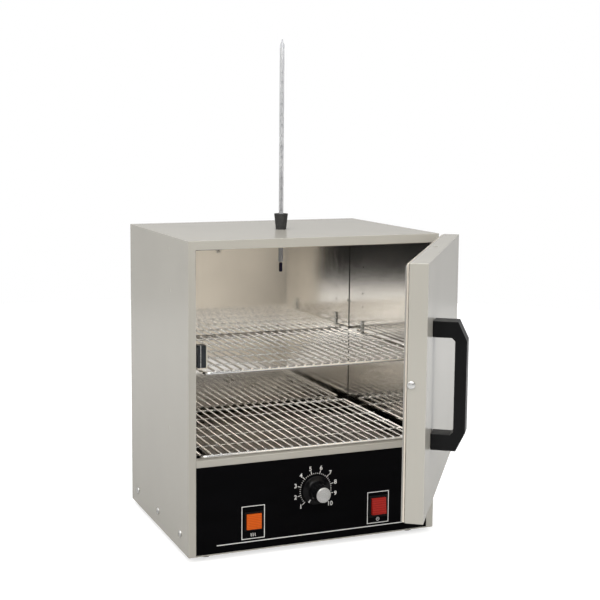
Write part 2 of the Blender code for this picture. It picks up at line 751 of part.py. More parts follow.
def door_screw_places():
    middle = HANDLE_HALF - HANDLE_ARM / 2
    return {"upper": HANDLE_Z + middle, "lower": HANDLE_Z - middle}


def door_holes(radius=SCREW_HOLE):
    return [
        rod((HANDLE_X, DOOR_INNER_Y + 0.01, z), (HANDLE_X, DOOR_OUTER_Y - 0.0165, z), radius, sides=12)
        for z in door_screw_places().values()
    ]


def door_shell(door):
    hollow = block(
        (SHEET - HALF, DOOR_OUTER_Y + SHEET, DOOR_BOTTOM + SHEET),
        (HALF - SHEET, DOOR_INNER_Y + 0.01, DOOR_TOP - SHEET),
    )
    top_hole = rod(
        (0.004, DOOR_INNER_Y - 0.0108, DOOR_TOP - 0.01),
        (0.004, DOOR_INNER_Y - 0.0108, DOOR_TOP + 0.01),
        DOOR_TOP_HOLE_RADIUS,
    )
    edge_hole = rod((-HALF - 0.01, -0.143, 0.273), (-HALF + 0.01, -0.143, 0.273), SCREW_HOLE, sides=12)
    piece(
        "door_outer_shell",
        "beige_paint",
        block((-HALF, DOOR_OUTER_Y, DOOR_BOTTOM), (HALF, DOOR_SHELL_Y, DOOR_TOP)),
        cut=[hollow, top_hole, edge_hole, *door_holes()],
        anchor=PIVOT,
        parent=door,
    )
    screw("door_edge_screw", (-HALF, -0.143, 0.273), (-1, 0, 0), 0.006, PIVOT, door)


def door_lining(door):
    inset = 0.0008
    piece(
        "door_inner_panel",
        "aluminium",
        block(
            (inset - HALF, DOOR_INNER_Y - DOOR_PANEL_SHEET, DOOR_BOTTOM + inset),
            (HALF - inset, DOOR_INNER_Y, DOOR_TOP - inset),
        ),
        cut=door_holes(),
        anchor=PIVOT,
        parent=door,
    )
    slab = 0.0085
    piece(
        "door_insulation",
        "insulation",
        block(
            (slab - HALF, DOOR_OUTER_Y + SHEET + GAP, DOOR_BOTTOM + slab),
            (HALF - slab, DOOR_SHELL_Y, DOOR_TOP - slab),
        ),
        cut=door_holes(0.003),
        anchor=PIVOT,
        parent=door,
    )
    front, back = DOOR_INNER_Y + GAP, DOOR_INNER_Y + GAP + GASKET_THICKNESS
    piece(
        "door_gasket",
        "grey_silicone",
        block((-0.1725, front, 0.1222), (0.1725, back, 0.3995)),
        cut=[block((-0.1668, front - 0.01, 0.1252), (0.1668, back + 0.01, 0.3938))],
        anchor=PIVOT,
        parent=door,
    )
    plate_y = (DOOR_INNER_Y + GAP, DOOR_INNER_Y + 0.0015)
    strike = block((-0.1645, plate_y[0], 0.2400), (-0.1490, plate_y[1], 0.2750))
    piece("strike_plate", "plated_steel", strike, anchor=PIVOT, parent=door)


def door_handle(door):
    half_width = HANDLE_WIDTH / 2
    shape = prism(handle_outline(), "X", HANDLE_X - half_width, HANDLE_X + half_width)
    piece("door_handle", "black_plastic", shape, cut=door_holes(), anchor=PIVOT, parent=door)
    for place, z in door_screw_places().items():
        screw(f"handle_screw_{place}", (HANDLE_X, DOOR_INNER_Y, z), (0, 1, 0), 0.038, PIVOT, door)


def hinge_leaf(name, middle_z, knuckles, reach, parent):
    """A plate against the side, with tabs to its knuckles. The reach is negative for the door's leaf."""
    plate_x = (HALF + GAP, HALF + GAP + LEAF_SHEET)
    half = HINGE_LENGTH / 2
    direction = math.copysign(1, reach)
    near = PIVOT.y + direction * LEAF_TAB
    far = near + reach
    leaf = block(
        (plate_x[0], min(near, far), middle_z - half), (plate_x[1], max(near, far), middle_z + half)
    )
    joined = []
    for low, high in knuckles:
        low, high = middle_z + low * half + GAP / 2, middle_z + high * half - GAP / 2
        tab_ends = sorted((PIVOT.y, near + direction * 0.001))
        joined.append(block((plate_x[0], tab_ends[0], low), (plate_x[1] + 0.0011, tab_ends[1], high)))
        joined.append(rod((PIVOT.x, PIVOT.y, low), (PIVOT.x, PIVOT.y, high), KNUCKLE_RADIUS, sides=16))
    bore_ends = (PIVOT.x, PIVOT.y, middle_z - half - 0.01), (PIVOT.x, PIVOT.y, middle_z + half + 0.01)
    bore = rod(*bore_ends, PIN_RADIUS + GAP, sides=16)
    anchor = PIVOT if parent else (0, 0, 0)
    piece(name, "plated_steel", leaf, add=joined, cut=[bore], anchor=anchor, parent=parent)


def hinges(door):
    third = 1 / 3
    for place, z in HINGE_ZS.items():
        hinge_leaf(f"hinge_leaf_cabinet_{place}", z, ((-1, -third), (third, 1)), CABINET_LEAF_REACH, None)
        hinge_leaf(f"hinge_leaf_door_{place}", z, ((-third, third),), -DOOR_LEAF_REACH, door)
        half = HINGE_LENGTH / 2
        pin_ends = (PIVOT.x, PIVOT.y, z - half - 0.001), (PIVOT.x, PIVOT.y, z + half + 0.001)
        pin = rod(*pin_ends, PIN_RADIUS, sides=12)
        head_ends = (PIVOT.x, PIVOT.y, z + half + GAP), (PIVOT.x, PIVOT.y, z + half + 0.002)
        piece(f"hinge_pin_{place}", "plated_steel", pin, add=[rod(*head_ends, 0.0026, sides=12)])


def door_assembly():
    door = bpy.data.objects.new("door_pivot", None)
    bpy.context.scene.collection.objects.link(door)
    door.location = PIVOT
    door_shell(door)
    door_lining(door)
    door_handle(door)
    hinges(door)
    door.rotation_euler.z = math.radians(DOOR_OPEN_DEG)


def main():
    clear_scene()
    cabinet_shell()
    back_cover()
    bottom_pan()
    sill_rail()
    control_panel()
    chamber_liner()
    insulation()
    floor_baffle()
    heating_element()
    wire_shelf("wire_shelf_lower", LOWER_SHELF)
    wire_shelf("wire_shelf_upper", UPPER_SHELF)
    shelf_clips()
    magnetic_catch()
    thermostat()
    dial_knob()
    pilot_lamp()
    power_switch()
    terminal_block()
    thermometer()
    feet()
    side_screws()
    cord_gland()
    door_assembly()


main()
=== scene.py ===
"""Looks for the laboratory incubator: finishes, fine pieces, light and the camera.

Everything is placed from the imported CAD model's own boxes, in metres, with Z up and the front facing -Y.
"""

import json
import math

import bmesh
import bpy
from mathutils import Matrix, Vector

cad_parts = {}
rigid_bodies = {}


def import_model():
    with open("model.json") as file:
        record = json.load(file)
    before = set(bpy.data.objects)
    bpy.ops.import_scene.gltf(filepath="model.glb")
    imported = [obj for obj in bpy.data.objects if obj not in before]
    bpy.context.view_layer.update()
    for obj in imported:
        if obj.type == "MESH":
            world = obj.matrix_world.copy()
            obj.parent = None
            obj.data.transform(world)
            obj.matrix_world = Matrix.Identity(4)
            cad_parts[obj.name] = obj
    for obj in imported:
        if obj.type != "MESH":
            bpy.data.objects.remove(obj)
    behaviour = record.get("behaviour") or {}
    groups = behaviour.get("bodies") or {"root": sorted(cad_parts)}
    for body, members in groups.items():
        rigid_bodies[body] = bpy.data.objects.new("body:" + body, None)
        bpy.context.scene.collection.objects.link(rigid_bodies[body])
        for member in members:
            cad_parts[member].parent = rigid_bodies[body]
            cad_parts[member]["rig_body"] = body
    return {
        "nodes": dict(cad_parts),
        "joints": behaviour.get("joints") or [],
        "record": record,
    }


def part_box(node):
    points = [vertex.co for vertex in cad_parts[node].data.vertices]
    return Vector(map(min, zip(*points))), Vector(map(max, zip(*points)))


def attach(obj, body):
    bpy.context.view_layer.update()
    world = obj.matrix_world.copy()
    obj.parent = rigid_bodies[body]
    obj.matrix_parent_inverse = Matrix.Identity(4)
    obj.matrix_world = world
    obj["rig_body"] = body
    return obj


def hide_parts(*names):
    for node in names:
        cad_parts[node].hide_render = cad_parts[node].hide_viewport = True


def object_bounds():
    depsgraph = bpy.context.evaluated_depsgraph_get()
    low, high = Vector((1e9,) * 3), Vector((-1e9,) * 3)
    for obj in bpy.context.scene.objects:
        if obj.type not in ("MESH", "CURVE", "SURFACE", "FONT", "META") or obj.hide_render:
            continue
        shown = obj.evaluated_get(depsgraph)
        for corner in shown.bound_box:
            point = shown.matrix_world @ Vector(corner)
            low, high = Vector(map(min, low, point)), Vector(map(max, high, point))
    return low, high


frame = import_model()
cad_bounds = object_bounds()
joints = {joint["name"]: joint for joint in frame["joints"]}

# The door is shown open. Its pieces are shaped with the door closed and then turned to this place.
PIVOT = Vector(joints["door_hinge"]["pos_m"])
OPEN_ANGLE = -math.radians(joints["door_hinge"]["range_deg"][0])
DOOR_PLACE = Matrix.Translation(PIVOT) @ Matrix.Rotation(OPEN_ANGLE, 4, "Z") @ Matrix.Translation(-PIVOT)

UP = (0, 0, 1)
FRONTWARD = (0, -1, 0)
REARWARD = (0, 1, 0)
LEFTWARD = (-1, 0, 0)
RIGHTWARD = (1, 0, 0)
CREASE_DEGREES = 35.0

# Shelves
WIRE_COUNT = 24
CROSS_COUNT = 4
RIM_RADIUS = 0.0020
RIM_CORNER = 0.006
WIRE_RADIUS = 0.0014
CROSS_RADIUS = 0.0011
WIRE_FRONT_END = 0.0006
WIRE_REAR_END = 0.0030
CROSS_END = 0.0030
WELD_DEPTH = 0.0003

# Screws
SCREW_HEIGHT = 0.0021
RECESS_REACH = 0.6
RECESS_HALF_WIDTH = 0.00065
RECESS_DEPTH = 0.0013

# Control panel print
INK_LIFT = 0.00006
INK_DEPTH = 0.00004
DIAL_COUNT = 10
DIAL_SPAN = math.radians(270)
DIGIT_RADIUS = 0.0295
DIGIT_HEIGHT = 0.0080
TICK_RADII = (0.0212, 0.0262)
TICK_WIDTH = 0.0008
DOTS_PER_STEP = 3
DOT_RADII = (0.0213, 0.0228)
DOT_WIDTH = 0.0007
OUTLINE_HALF_WIDTH = 0.0160
OUTLINE_BOTTOM = 0.0150
OUTLINE_TOPS = {"lamp_lens": 0.0590, "power_rocker": 0.0585}
OUTLINE_LINE = 0.0010
RULE_LOW = (-0.137, 0.0110)
RULE_HIGH = (0.139, 0.0122)
SYMBOL_HEIGHT = 0.0205
SYMBOL_LINE = 0.0007

# Thermometer scale
SCALE_LOW = 0.4286
SCALE_HIGH = 0.6148
SCALE_STEPS = 13
COLUMN_TOP = 0.4835
COLUMN_RADIUS = 0.00042
SCALE_FACING = math.radians(-111)
MARK_LIFT = 0.00003
MARK_DEPTH = 0.00002
NUMBER_HEIGHT = 0.0022

# Small marks of the sheet metal, by height, and by distance behind the front where two numbers are given
LINER_SHEET = 0.001
CLIP_HOLE_HEIGHTS = (0.175, 0.215, 0.275, 0.295, 0.335)
RIVET_HEIGHTS = (0.160, 0.278, 0.372)
BACK_SCREW_INSET = 0.009
WELD_DIMPLES = ((0.081, 0.386), (0.075, 0.332), (0.081, 0.150))

# The view
CAMERA_PLACE = Vector((-0.6332, -1.5568, 0.5495))
CAMERA_AZIMUTH = math.radians(-21.71)
CAMERA_ELEVATION = math.radians(6.93)
CAMERA_ROLL = math.radians(0.34)
CAMERA_LENS = 73.44
CAMERA_SHIFT = (0.05, -0.05)

# Light
HORIZON_LIGHT = 0.006
BACKDROP_LIGHT = 0.50
CEILING_LIGHT = 0.26
KEY_POWER = 44.0
OVERHEAD_POWER = 33.0
SIDE_POWER = 12.0
FILL_POWER = 20.0
FLOOR_RADIUS = 2.15
FLOOR_GLOW = 0.41
FLOOR_SEEN = 0.68


class Surface:
    """A procedural material: a Principled shader and textures in the piece's own coordinates."""

    def __init__(self, name, colour, roughness, metallic=0.0, **sockets):
        self.material = bpy.data.materials.new(name)
        self.material.use_nodes = True
        self.tree = self.material.node_tree
        self.shader = self.tree.nodes["Principled BSDF"]
        self.shader.inputs["Base Color"].default_value = (*colour, 1.0)
        self.shader.inputs["Roughness"].default_value = roughness
        self.shader.inputs["Metallic"].default_value = metallic
        for socket, value in sockets.items():
            self.shader.inputs[socket.replace("_", " ")].default_value = value
        self.coordinates = self.node("ShaderNodeTexCoord").outputs["Object"]

    def node(self, kind, **settings):
        made = self.tree.nodes.new(kind)
        for key, value in settings.items():
            setattr(made, key, value)
        return made

    def link(self, output, target):
        self.tree.links.new(output, target)

    def moved(self, centre=(0, 0, 0), stretch=(1, 1, 1)):
        """The coordinates from a centre, stretched along each axis."""
        away = self.node("ShaderNodeVectorMath", operation="SUBTRACT")
        self.link(self.coordinates, away.inputs[0])
        away.inputs[1].default_value = centre
        scaled = self.node("ShaderNodeVectorMath", operation="MULTIPLY")
        self.link(away.outputs[0], scaled.inputs[0])
        scaled.inputs[1].default_value = stretch
        return scaled.outputs[0]

    def noise(self, scale, detail=3.0, stretch=(1, 1, 1), offset=(0, 0, 0)):
        made = self.node("ShaderNodeTexNoise")
        made.inputs["Scale"].default_value = scale
        made.inputs["Detail"].default_value = detail
        self.link(self.moved(offset, stretch), made.inputs["Vector"])
        return made.outputs["Fac"]

    def spread(self, value, low, high, start=0.35, end=0.65):
        made = self.node("ShaderNodeMapRange")
        self.link(value, made.inputs["Value"])
        for socket, number in (("From Min", start), ("From Max", end), ("To Min", low), ("To Max", high)):
            made.inputs[socket].default_value = number
        return made.outputs["Result"]

    def tint(self, value, dark, light):
        mix = self.node("ShaderNodeMix", data_type="RGBA")
        self.link(value, mix.inputs["Factor"])
        mix.inputs["A"].default_value = (*dark, 1.0)
        mix.inputs["B"].default_value = (*light, 1.0)
        colour = next(output for output in mix.outputs if output.type == "RGBA")
        self.link(colour, self.shader.inputs["Base Color"])

    def rough(self, value):
        self.link(value, self.shader.inputs["Roughness"])

    def bump(self, height, depth, strength=1.0):
        """Adds relief on top of any that the shader already has."""
        made = self.node("ShaderNodeBump")
        made.inputs["Distance"].default_value = depth
        made.inputs["Strength"].default_value = strength
        self.link(height, made.inputs["Height"])
        normal = self.shader.inputs["Normal"]
        if normal.is_linked:
            self.link(normal.links[0].from_socket, made.inputs["Normal"])
        self.link(made.outputs["Normal"], normal)


def shade(colour, factor):
    return tuple(channel * factor for channel in colour)


def paint_finish():
    """Baked enamel: fine orange peel, slightly uneven gloss and a trace of dust."""
    colour = (0.450, 0.432, 0.385)
    made = Surface("baked_enamel", colour, 0.26, Coat_Weight=0.25, Coat_Roughness=0.12)
    cloud = made.noise(9.0, 4.0)
    made.tint(made.spread(cloud, 0.0, 1.0), shade(colour, 0.985), shade(colour, 1.015))
    made.rough(made.spread(made.noise(4.0, 1.0), 0.25, 0.28, 0.2, 0.8))
    made.bump(made.noise(420.0, 2.0), 0.000001, 0.3)
    return made.material


def panel_finish():
    """The overlay of the control panel: satin black film with a fine texture and faint wipe marks."""
    colour = (0.0016, 0.0016, 0.0020)
    made = Surface("panel_film", colour, 0.36, Specular_IOR_Level=0.035)
    wipes = made.noise(14.0, 5.0, (1.0, 1.0, 3.5))
    made.tint(made.spread(wipes, 0.0, 1.0), shade(colour, 0.85), shade(colour, 1.25))
    made.rough(made.spread(wipes, 0.30, 0.44))
    made.bump(made.noise(3200.0, 1.0), 0.00001, 0.4)
    return made.material


def rolled_aluminium(name, colour, stretch, roughness=(0.080, 0.100)):
    """Mill-finish sheet: rolling lines along one direction, with clouded patches."""
    made = Surface(name, colour, roughness[0], 1.0)
    cloud = made.noise(7.0, 5.0)
    made.tint(made.spread(cloud, 0.0, 1.0), shade(colour, 0.93), shade(colour, 1.05))
    lines = made.noise(420.0, 3.0, stretch)
    made.rough(made.spread(lines, *roughness))
    made.bump(lines, 0.000001, 0.2)
    return made.material


def plated_finish(name, colour, roughness=(0.16, 0.30)):
    """Zinc or nickel plate: bright, with small stains."""
    made = Surface(name, colour, roughness[0], 1.0)
    stain = made.noise(160.0, 4.0)
    made.tint(made.spread(stain, 0.0, 1.0), shade(colour, 0.82), colour)
    made.rough(made.spread(made.noise(420.0, 3.0), *roughness))
    made.bump(made.noise(900.0, 2.0), 0.00001, 0.3)
    return made.material


def chrome_finish():
    """Bright plated wire: clean, with a faint variation in gloss."""
    colour = (0.96, 0.96, 0.95)
    made = Surface("chrome_wire", colour, 0.16, 1.0)
    cloud = made.noise(90.0, 2.0)
    made.tint(made.spread(cloud, 0.0, 1.0), shade(colour, 0.94), colour)
    made.rough(made.spread(cloud, 0.16, 0.22))
    return made.material


def brushed_cap_finish(centre):
    """Turned aluminium: rings round the knob's axis and the streak of light that they make."""
    made = Surface("turned_cap", (0.66, 0.655, 0.64), 0.30, 1.0, Anisotropic=0.85)
    tangent = made.node("ShaderNodeTangent", direction_type="RADIAL", axis="Y")
    made.link(tangent.outputs["Tangent"], made.shader.inputs["Tangent"])
    length = made.node("ShaderNodeVectorMath", operation="LENGTH")
    made.link(made.moved(centre, (1, 0, 1)), length.inputs[0])
    rings = made.node("ShaderNodeTexNoise", noise_dimensions="1D")
    rings.inputs["Scale"].default_value = 5200.0
    made.link(length.outputs["Value"], rings.inputs["W"])
    made.rough(made.spread(rings.outputs["Fac"], 0.24, 0.38))
    made.bump(rings.outputs["Fac"], 0.00001, 0.35)
    return made.material


def plastic_finish(name, colour, roughness, grain=1800.0):
    """Moulded plastic: a fine spark-eroded grain and slightly uneven gloss."""
    made = Surface(name, colour, roughness, Specular_IOR_Level=0.15)
    cloud = made.noise(60.0, 4.0)
    made.tint(made.spread(cloud, 0.0, 1.0), shade(colour, 0.85), shade(colour, 1.2))
    made.rough(made.spread(cloud, roughness * 0.88, roughness * 1.15))
    made.bump(made.noise(grain, 2.0), 0.000025, 0.5)
    return made.material


def rubber_finish(name, colour, speckle, amount):
    """Rubber with pale specks of bloom."""
    made = Surface(name, colour, 0.68)
    specks = made.noise(950.0, 2.0)
    made.tint(made.spread(specks, 0.0, 1.0, 1.0 - amount, 1.06 - amount), colour, speckle)
    made.bump(made.noise(700.0, 3.0), 0.00005, 0.6)
    return made.material


def lens_finish(name, colour, rib_pitch, glow):
    """A tinted lens with moulded ribs, lit a little from inside."""
    made = Surface(name, colour, 0.25, Specular_IOR_Level=0.2)
    made.shader.inputs["Subsurface Weight"].default_value = 0.15
    made.shader.inputs["Subsurface Radius"].default_value = (0.004, 0.001, 0.0005)
    made.shader.inputs["Emission Color"].default_value = (*colour, 1.0)
    made.shader.inputs["Emission Strength"].default_value = glow
    ribs = made.node("ShaderNodeTexWave", bands_direction="Z", wave_profile="SIN")
    ribs.inputs["Scale"].default_value = math.pi / 10 / rib_pitch
    made.link(made.coordinates, ribs.inputs["Vector"])
    made.tint(ribs.outputs["Fac"], shade(colour, 0.80), shade(colour, 1.15))
    made.bump(ribs.outputs["Fac"], 0.00025, 0.6)
    return made.material


def glass_finish():
    """Milky thermometer glass."""
    made = Surface("thermometer_glass", (0.84, 0.85, 0.88), 0.12, Transmission_Weight=0.6, IOR=1.47)
    made.rough(made.spread(made.noise(300.0, 2.0), 0.10, 0.16))
    return made.material


def wool_finish():
    """Glass wool: fibres along one direction."""
    colour = (0.62, 0.50, 0.24)
    made = Surface("glass_wool", colour, 0.95)
    fibres = made.noise(900.0, 6.0, (1.0, 0.15, 1.0))
    made.tint(fibres, shade(colour, 0.6), shade(colour, 1.3))
    made.bump(fibres, 0.0006, 0.9)
    return made.material


def shade_painted_baffle_finish():
    """The sheet over the heater, dulled by its heat, with a dark brown colour that is painted shade for the
    darkness under the lower shelf, uneven in patches.
    """
    # Painted shade: this dark brown stands in for the shade that lies beneath the lower shelf.
    colour = (0.140, 0.122, 0.106)
    made = Surface("baffle_sheet_with_painted_shade", colour, 0.30, 0.9)
    stain = made.noise(16.0, 5.0)
    made.tint(made.spread(stain, 0.0, 1.0), shade(colour, 0.7), shade(colour, 1.5))
    made.rough(made.spread(stain, 0.24, 0.36))
    return made.material


def oxide_finish():
    """The heating element's sheath, oxidised in patches."""
    colour = (0.17, 0.14, 0.12)
    made = Surface("oxidised_sheath", colour, 0.45, 0.8)
    patches = made.noise(90.0, 5.0)
    made.tint(patches, shade(colour, 0.6), (0.26, 0.19, 0.15))
    made.rough(made.spread(patches, 0.35, 0.6))
    return made.material


def ink_finish():
    """Printed white ink, a little worn."""
    colour = (0.80, 0.80, 0.78)
    made = Surface("printed_ink", colour, 0.5)
    wear = made.noise(700.0, 3.0)
    made.tint(made.spread(wear, 0.0, 1.0), shade(colour, 0.86), colour)
    return made.material


def dark_hole_finish():
    made = Surface("dark_hole", (0.02, 0.02, 0.02), 0.8)
    made.tint(made.noise(800.0), (0.01, 0.01, 0.01), (0.03, 0.028, 0.025))
    return made.material


def place(obj, body, slot, *replaced):
    """Puts a piece on a body and hides the CAD nodes that it stands for. The slot argument is not used."""
    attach(obj, body)
    if replaced:
        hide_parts(*replaced)
    return obj


def node_body(node):
    return frame["nodes"][node]["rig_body"]


def node_slot(node):
    return next(part["material_slot"] for part in frame["record"]["subparts"] if part["node"] == node)


def door_box(node):
    """The lowest and highest corner of one of the door's nodes with the door closed."""
    back = DOOR_PLACE.inverted()
    points = [back @ vertex.co for vertex in frame["nodes"][node].data.vertices]
    return (
        Vector(min(point[axis] for point in points) for axis in range(3)),
        Vector(max(point[axis] for point in points) for axis in range(3)),
    )


def object_from(name, bm, finish, smooth_angle=CREASE_DEGREES):
    mesh = bpy.data.meshes.new(name)
    bmesh.ops.recalc_face_normals(bm, faces=bm.faces)
    bm.to_mesh(mesh)
    bm.free()
    mesh.materials.append(finish)
    mesh.shade_smooth()
    mesh.set_sharp_from_angle(angle=math.radians(smooth_angle))
    obj = bpy.data.objects.new(name, mesh)
    bpy.context.scene.collection.objects.link(obj)
    return obj


def add_box(bm, low, high):
    made = bmesh.ops.create_cube(bm, size=1.0)
    low, high = Vector(low), Vector(high)
    place_it = Matrix.Translation((low + high) / 2) @ Matrix.Diagonal((*(high - low), 1.0))
    bmesh.ops.transform(bm, matrix=place_it, verts=made["verts"])


def add_turned(bm, profile, centre, axis, sides=64):
    """A turned shape: profile is (radius, distance along the axis), from one end to the other."""
    turn = Vector((0, 0, 1)).rotation_difference(Vector(axis)).to_matrix()
    rings = []
    for radius, along in profile:
        if radius == 0.0:
            rings.append([bm.verts.new(Vector(centre) + turn @ Vector((0, 0, along)))])
            continue
        angles = [2 * math.pi * i / sides for i in range(sides)]
        points = [Vector((radius * math.cos(a), radius * math.sin(a), along)) for a in angles]
        rings.append([bm.verts.new(Vector(centre) + turn @ point) for point in points])
    for lower, upper in zip(rings, rings[1:]):
        for i in range(sides):
            corners = [lower[i % len(lower)], lower[(i + 1) % len(lower)]]
            corners += [upper[(i + 1) % len(upper)], upper[i % len(upper)]]
            bm.faces.new(list(dict.fromkeys(corners)))


def rounded(corner, radius, start, end, steps=5):
    """Points of an arc in a profile, between two angles in degrees."""
    angles = [math.radians(start + (end - start) * i / steps) for i in range(steps + 1)]
    return [(corner[0] + radius * math.cos(a), corner[1] + radius * math.sin(a)) for a in angles]


def refined(node, finish, width, inner=0.3, segments=3):
    """A CAD node's own shape with its folds and moulded edges rounded.

    The edges of its outer box are rounded by width, and the others by that times inner.
    """
    on_door = node_body(node) == "door"
    mesh = frame["nodes"][node].data.copy()
    if on_door:
        mesh.transform(DOOR_PLACE.inverted())
    bm = bmesh.new()
    bm.from_mesh(mesh)
    bpy.data.meshes.remove(mesh)
    bmesh.ops.remove_doubles(bm, verts=bm.verts, dist=2e-6)
    bmesh.ops.dissolve_limit(bm, angle_limit=math.radians(1.0), verts=bm.verts, edges=bm.edges)
    weights = bm.edges.layers.float.new("bevel_weight_edge")
    low = [min(vertex.co[axis] for vertex in bm.verts) for axis in range(3)]
    high = [max(vertex.co[axis] for vertex in bm.verts) for axis in range(3)]
    for edge in bm.edges:
        if abs(edge.calc_face_angle(0.0)) < math.radians(30):
            continue
        sides = sum(
            all(abs(vertex.co[axis] - face[axis]) < 1e-5 for vertex in edge.verts)
            for axis in range(3)
            for face in (low, high)
        )
        edge[weights] = 1.0 if sides >= 2 else inner
    obj = object_from(f"{node}_finished", bm, finish)
    bevel = obj.modifiers.new("Rounded edges", "BEVEL")
    bevel.width = width
    bevel.segments = segments
    bevel.limit_method = "WEIGHT"
    bevel.harden_normals = True
    if on_door:
        obj.matrix_world = DOOR_PLACE
    return place(obj, node_body(node), node_slot(node), node)


def dress(node, finish):
    """A CAD node keeps its shape and takes a finish."""
    mesh = frame["nodes"][node].data
    mesh.materials.clear()
    mesh.materials.append(finish)
    mesh.shade_smooth()
    mesh.set_sharp_from_angle(angle=math.radians(CREASE_DEGREES))


def turned_piece(name, profile, centre, axis, finish, node, sides=64):
    """A turned shape that stands for one CAD node."""
    bm = bmesh.new()
    add_turned(bm, profile, centre, axis, sides)
    obj = object_from(name, bm, finish)
    return place(obj, node_body(node), node_slot(node), node)


def wire_piece(name, paths, radius, finish, body, *replaced, cyclic=False):
    """Round wires along straight or bent paths, as one curve object."""
    curve = bpy.data.curves.new(name, "CURVE")
    curve.dimensions = "3D"
    curve.bevel_depth = radius
    curve.bevel_resolution = 3
    curve.use_fill_caps = True
    for path in paths:
        spline = curve.splines.new("POLY")
        spline.use_cyclic_u = cyclic
        spline.points.add(len(path) - 1)
        for target, point in zip(spline.points, path):
            target.co = (*point, 1.0)
    curve.materials.append(finish)
    obj = bpy.data.objects.new(name, curve)
    bpy.context.scene.collection.objects.link(obj)
    return place(obj, body, "chrome_wire", *replaced)


def rounded_loop(low, high, z, corner, steps=8):
    """A rectangle with round corners, as points of a closed wire."""
    points = []
    for quarter, (x, y) in enumerate(((high.x, high.y), (low.x, high.y), (low.x, low.y), (high.x, low.y))):
        centre_x = x - corner if x == high.x else x + corner
        centre_y = y - corner if y == high.y else y + corner
        for i in range(steps + 1):
            angle = math.pi / 2 * (quarter + i / steps)
            points.append((centre_x + corner * math.cos(angle), centre_y + corner * math.sin(angle), z))
    return points


def wire_shelf(level, finish):
    """Rim, cross wires on it, and the long wires over both, welded where they touch."""
    node = f"wire_shelf_{level}"
    body = node_body(node)
    low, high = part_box(node)
    middle = (low + high) / 2
    rim_z = low.z + RIM_RADIUS
    wire_z = high.z - WIRE_RADIUS
    inset = Vector((RIM_RADIUS, RIM_RADIUS, 0))
    rim_low, rim_high = low + inset, high - inset
    pitch = (rim_high.x - rim_low.x) / (WIRE_COUNT + 1)
    rim = rounded_loop(rim_low, rim_high, rim_z, RIM_CORNER)
    wire_piece(f"shelf_rim_{level}", [rim], RIM_RADIUS, finish, body, node, cyclic=True)
    long_ys = (low.y - WIRE_FRONT_END, middle.y, high.y + WIRE_REAR_END)
    long_wires = []
    for i in range(WIRE_COUNT):
        x = rim_low.x + pitch * (i + 1)
        long_wires.append([(x, y, wire_z) for y in long_ys])
    wire_piece(f"shelf_long_wires_{level}", long_wires, WIRE_RADIUS, finish, body)
    spacing = (rim_high.y - rim_low.y) / (CROSS_COUNT + 1)
    cross_z = wire_z - WIRE_RADIUS - CROSS_RADIUS + WELD_DEPTH
    cross_xs = (low.x - CROSS_END, middle.x, high.x + CROSS_END)
    crosses = []
    for i in range(CROSS_COUNT):
        y = rim_low.y + spacing * (i + 1)
        crosses.append([(x, y, cross_z) for x in cross_xs])
    wire_piece(f"shelf_cross_wires_{level}", crosses, CROSS_RADIUS, finish, body)


def screw_head(node, outward, finish, recess_finish):
    """A pan-head screw with a cross recess. Its shank stays hidden in its hole."""
    on_door = node_body(node) == "door"
    low, high = door_box(node) if on_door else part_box(node)
    outward = Vector(outward)
    axis = max(range(3), key=lambda i: abs(outward[i]))
    across = [i for i in range(3) if i != axis]
    radius = max(high[i] - low[i] for i in across) / 2
    seat = (low + high) / 2
    seat[axis] = (high if outward[axis] > 0 else low)[axis] - outward[axis] * SCREW_HEIGHT
    bm = bmesh.new()
    add_turned(bm, dome_profile(radius, SCREW_HEIGHT), seat, outward, 40)
    obj = object_from(f"{node}_head", bm, finish)
    cross = bmesh.new()
    arm = radius * RECESS_REACH
    for long_axis in across:
        reach = Vector((RECESS_HALF_WIDTH,) * 3)
        reach[long_axis] = arm
        reach[axis] = RECESS_DEPTH
        centre = seat + outward * SCREW_HEIGHT
        add_box(cross, centre - reach, centre + reach)
    recess = object_from(f"{node}_recess", cross, recess_finish, 10)
    for piece in (obj, recess):
        if on_door:
            piece.matrix_world = DOOR_PLACE
    cut_out(obj, recess)
    place(obj, node_body(node), node_slot(node), node)


def dome_profile(radius, height):
    """From the seat's centre out, up a short rim and over a dome to the axis."""
    rim = height * 0.25
    points = [(0.0, 0.0), (radius, 0.0)]
    for i in range(9):
        angle = math.pi / 2 * i / 8
        points.append((radius * math.cos(angle), rim + (height - rim) * math.sin(angle)))
    points[-1] = (0.0, height)
    return points


def cut_out(obj, helper):
    """Cuts a helper's shape from a piece for good and removes the helper."""
    modifier = obj.modifiers.new("Recess", "BOOLEAN")
    modifier.operation = "DIFFERENCE"
    modifier.use_self = True
    modifier.object = helper
    graph = bpy.context.evaluated_depsgraph_get()
    cut = bpy.data.meshes.new_from_object(obj.evaluated_get(graph))
    obj.modifiers.clear()
    obj.data = cut
    cut.set_sharp_from_angle(angle=math.radians(CREASE_DEGREES))
    bpy.data.objects.remove(helper, do_unlink=True)


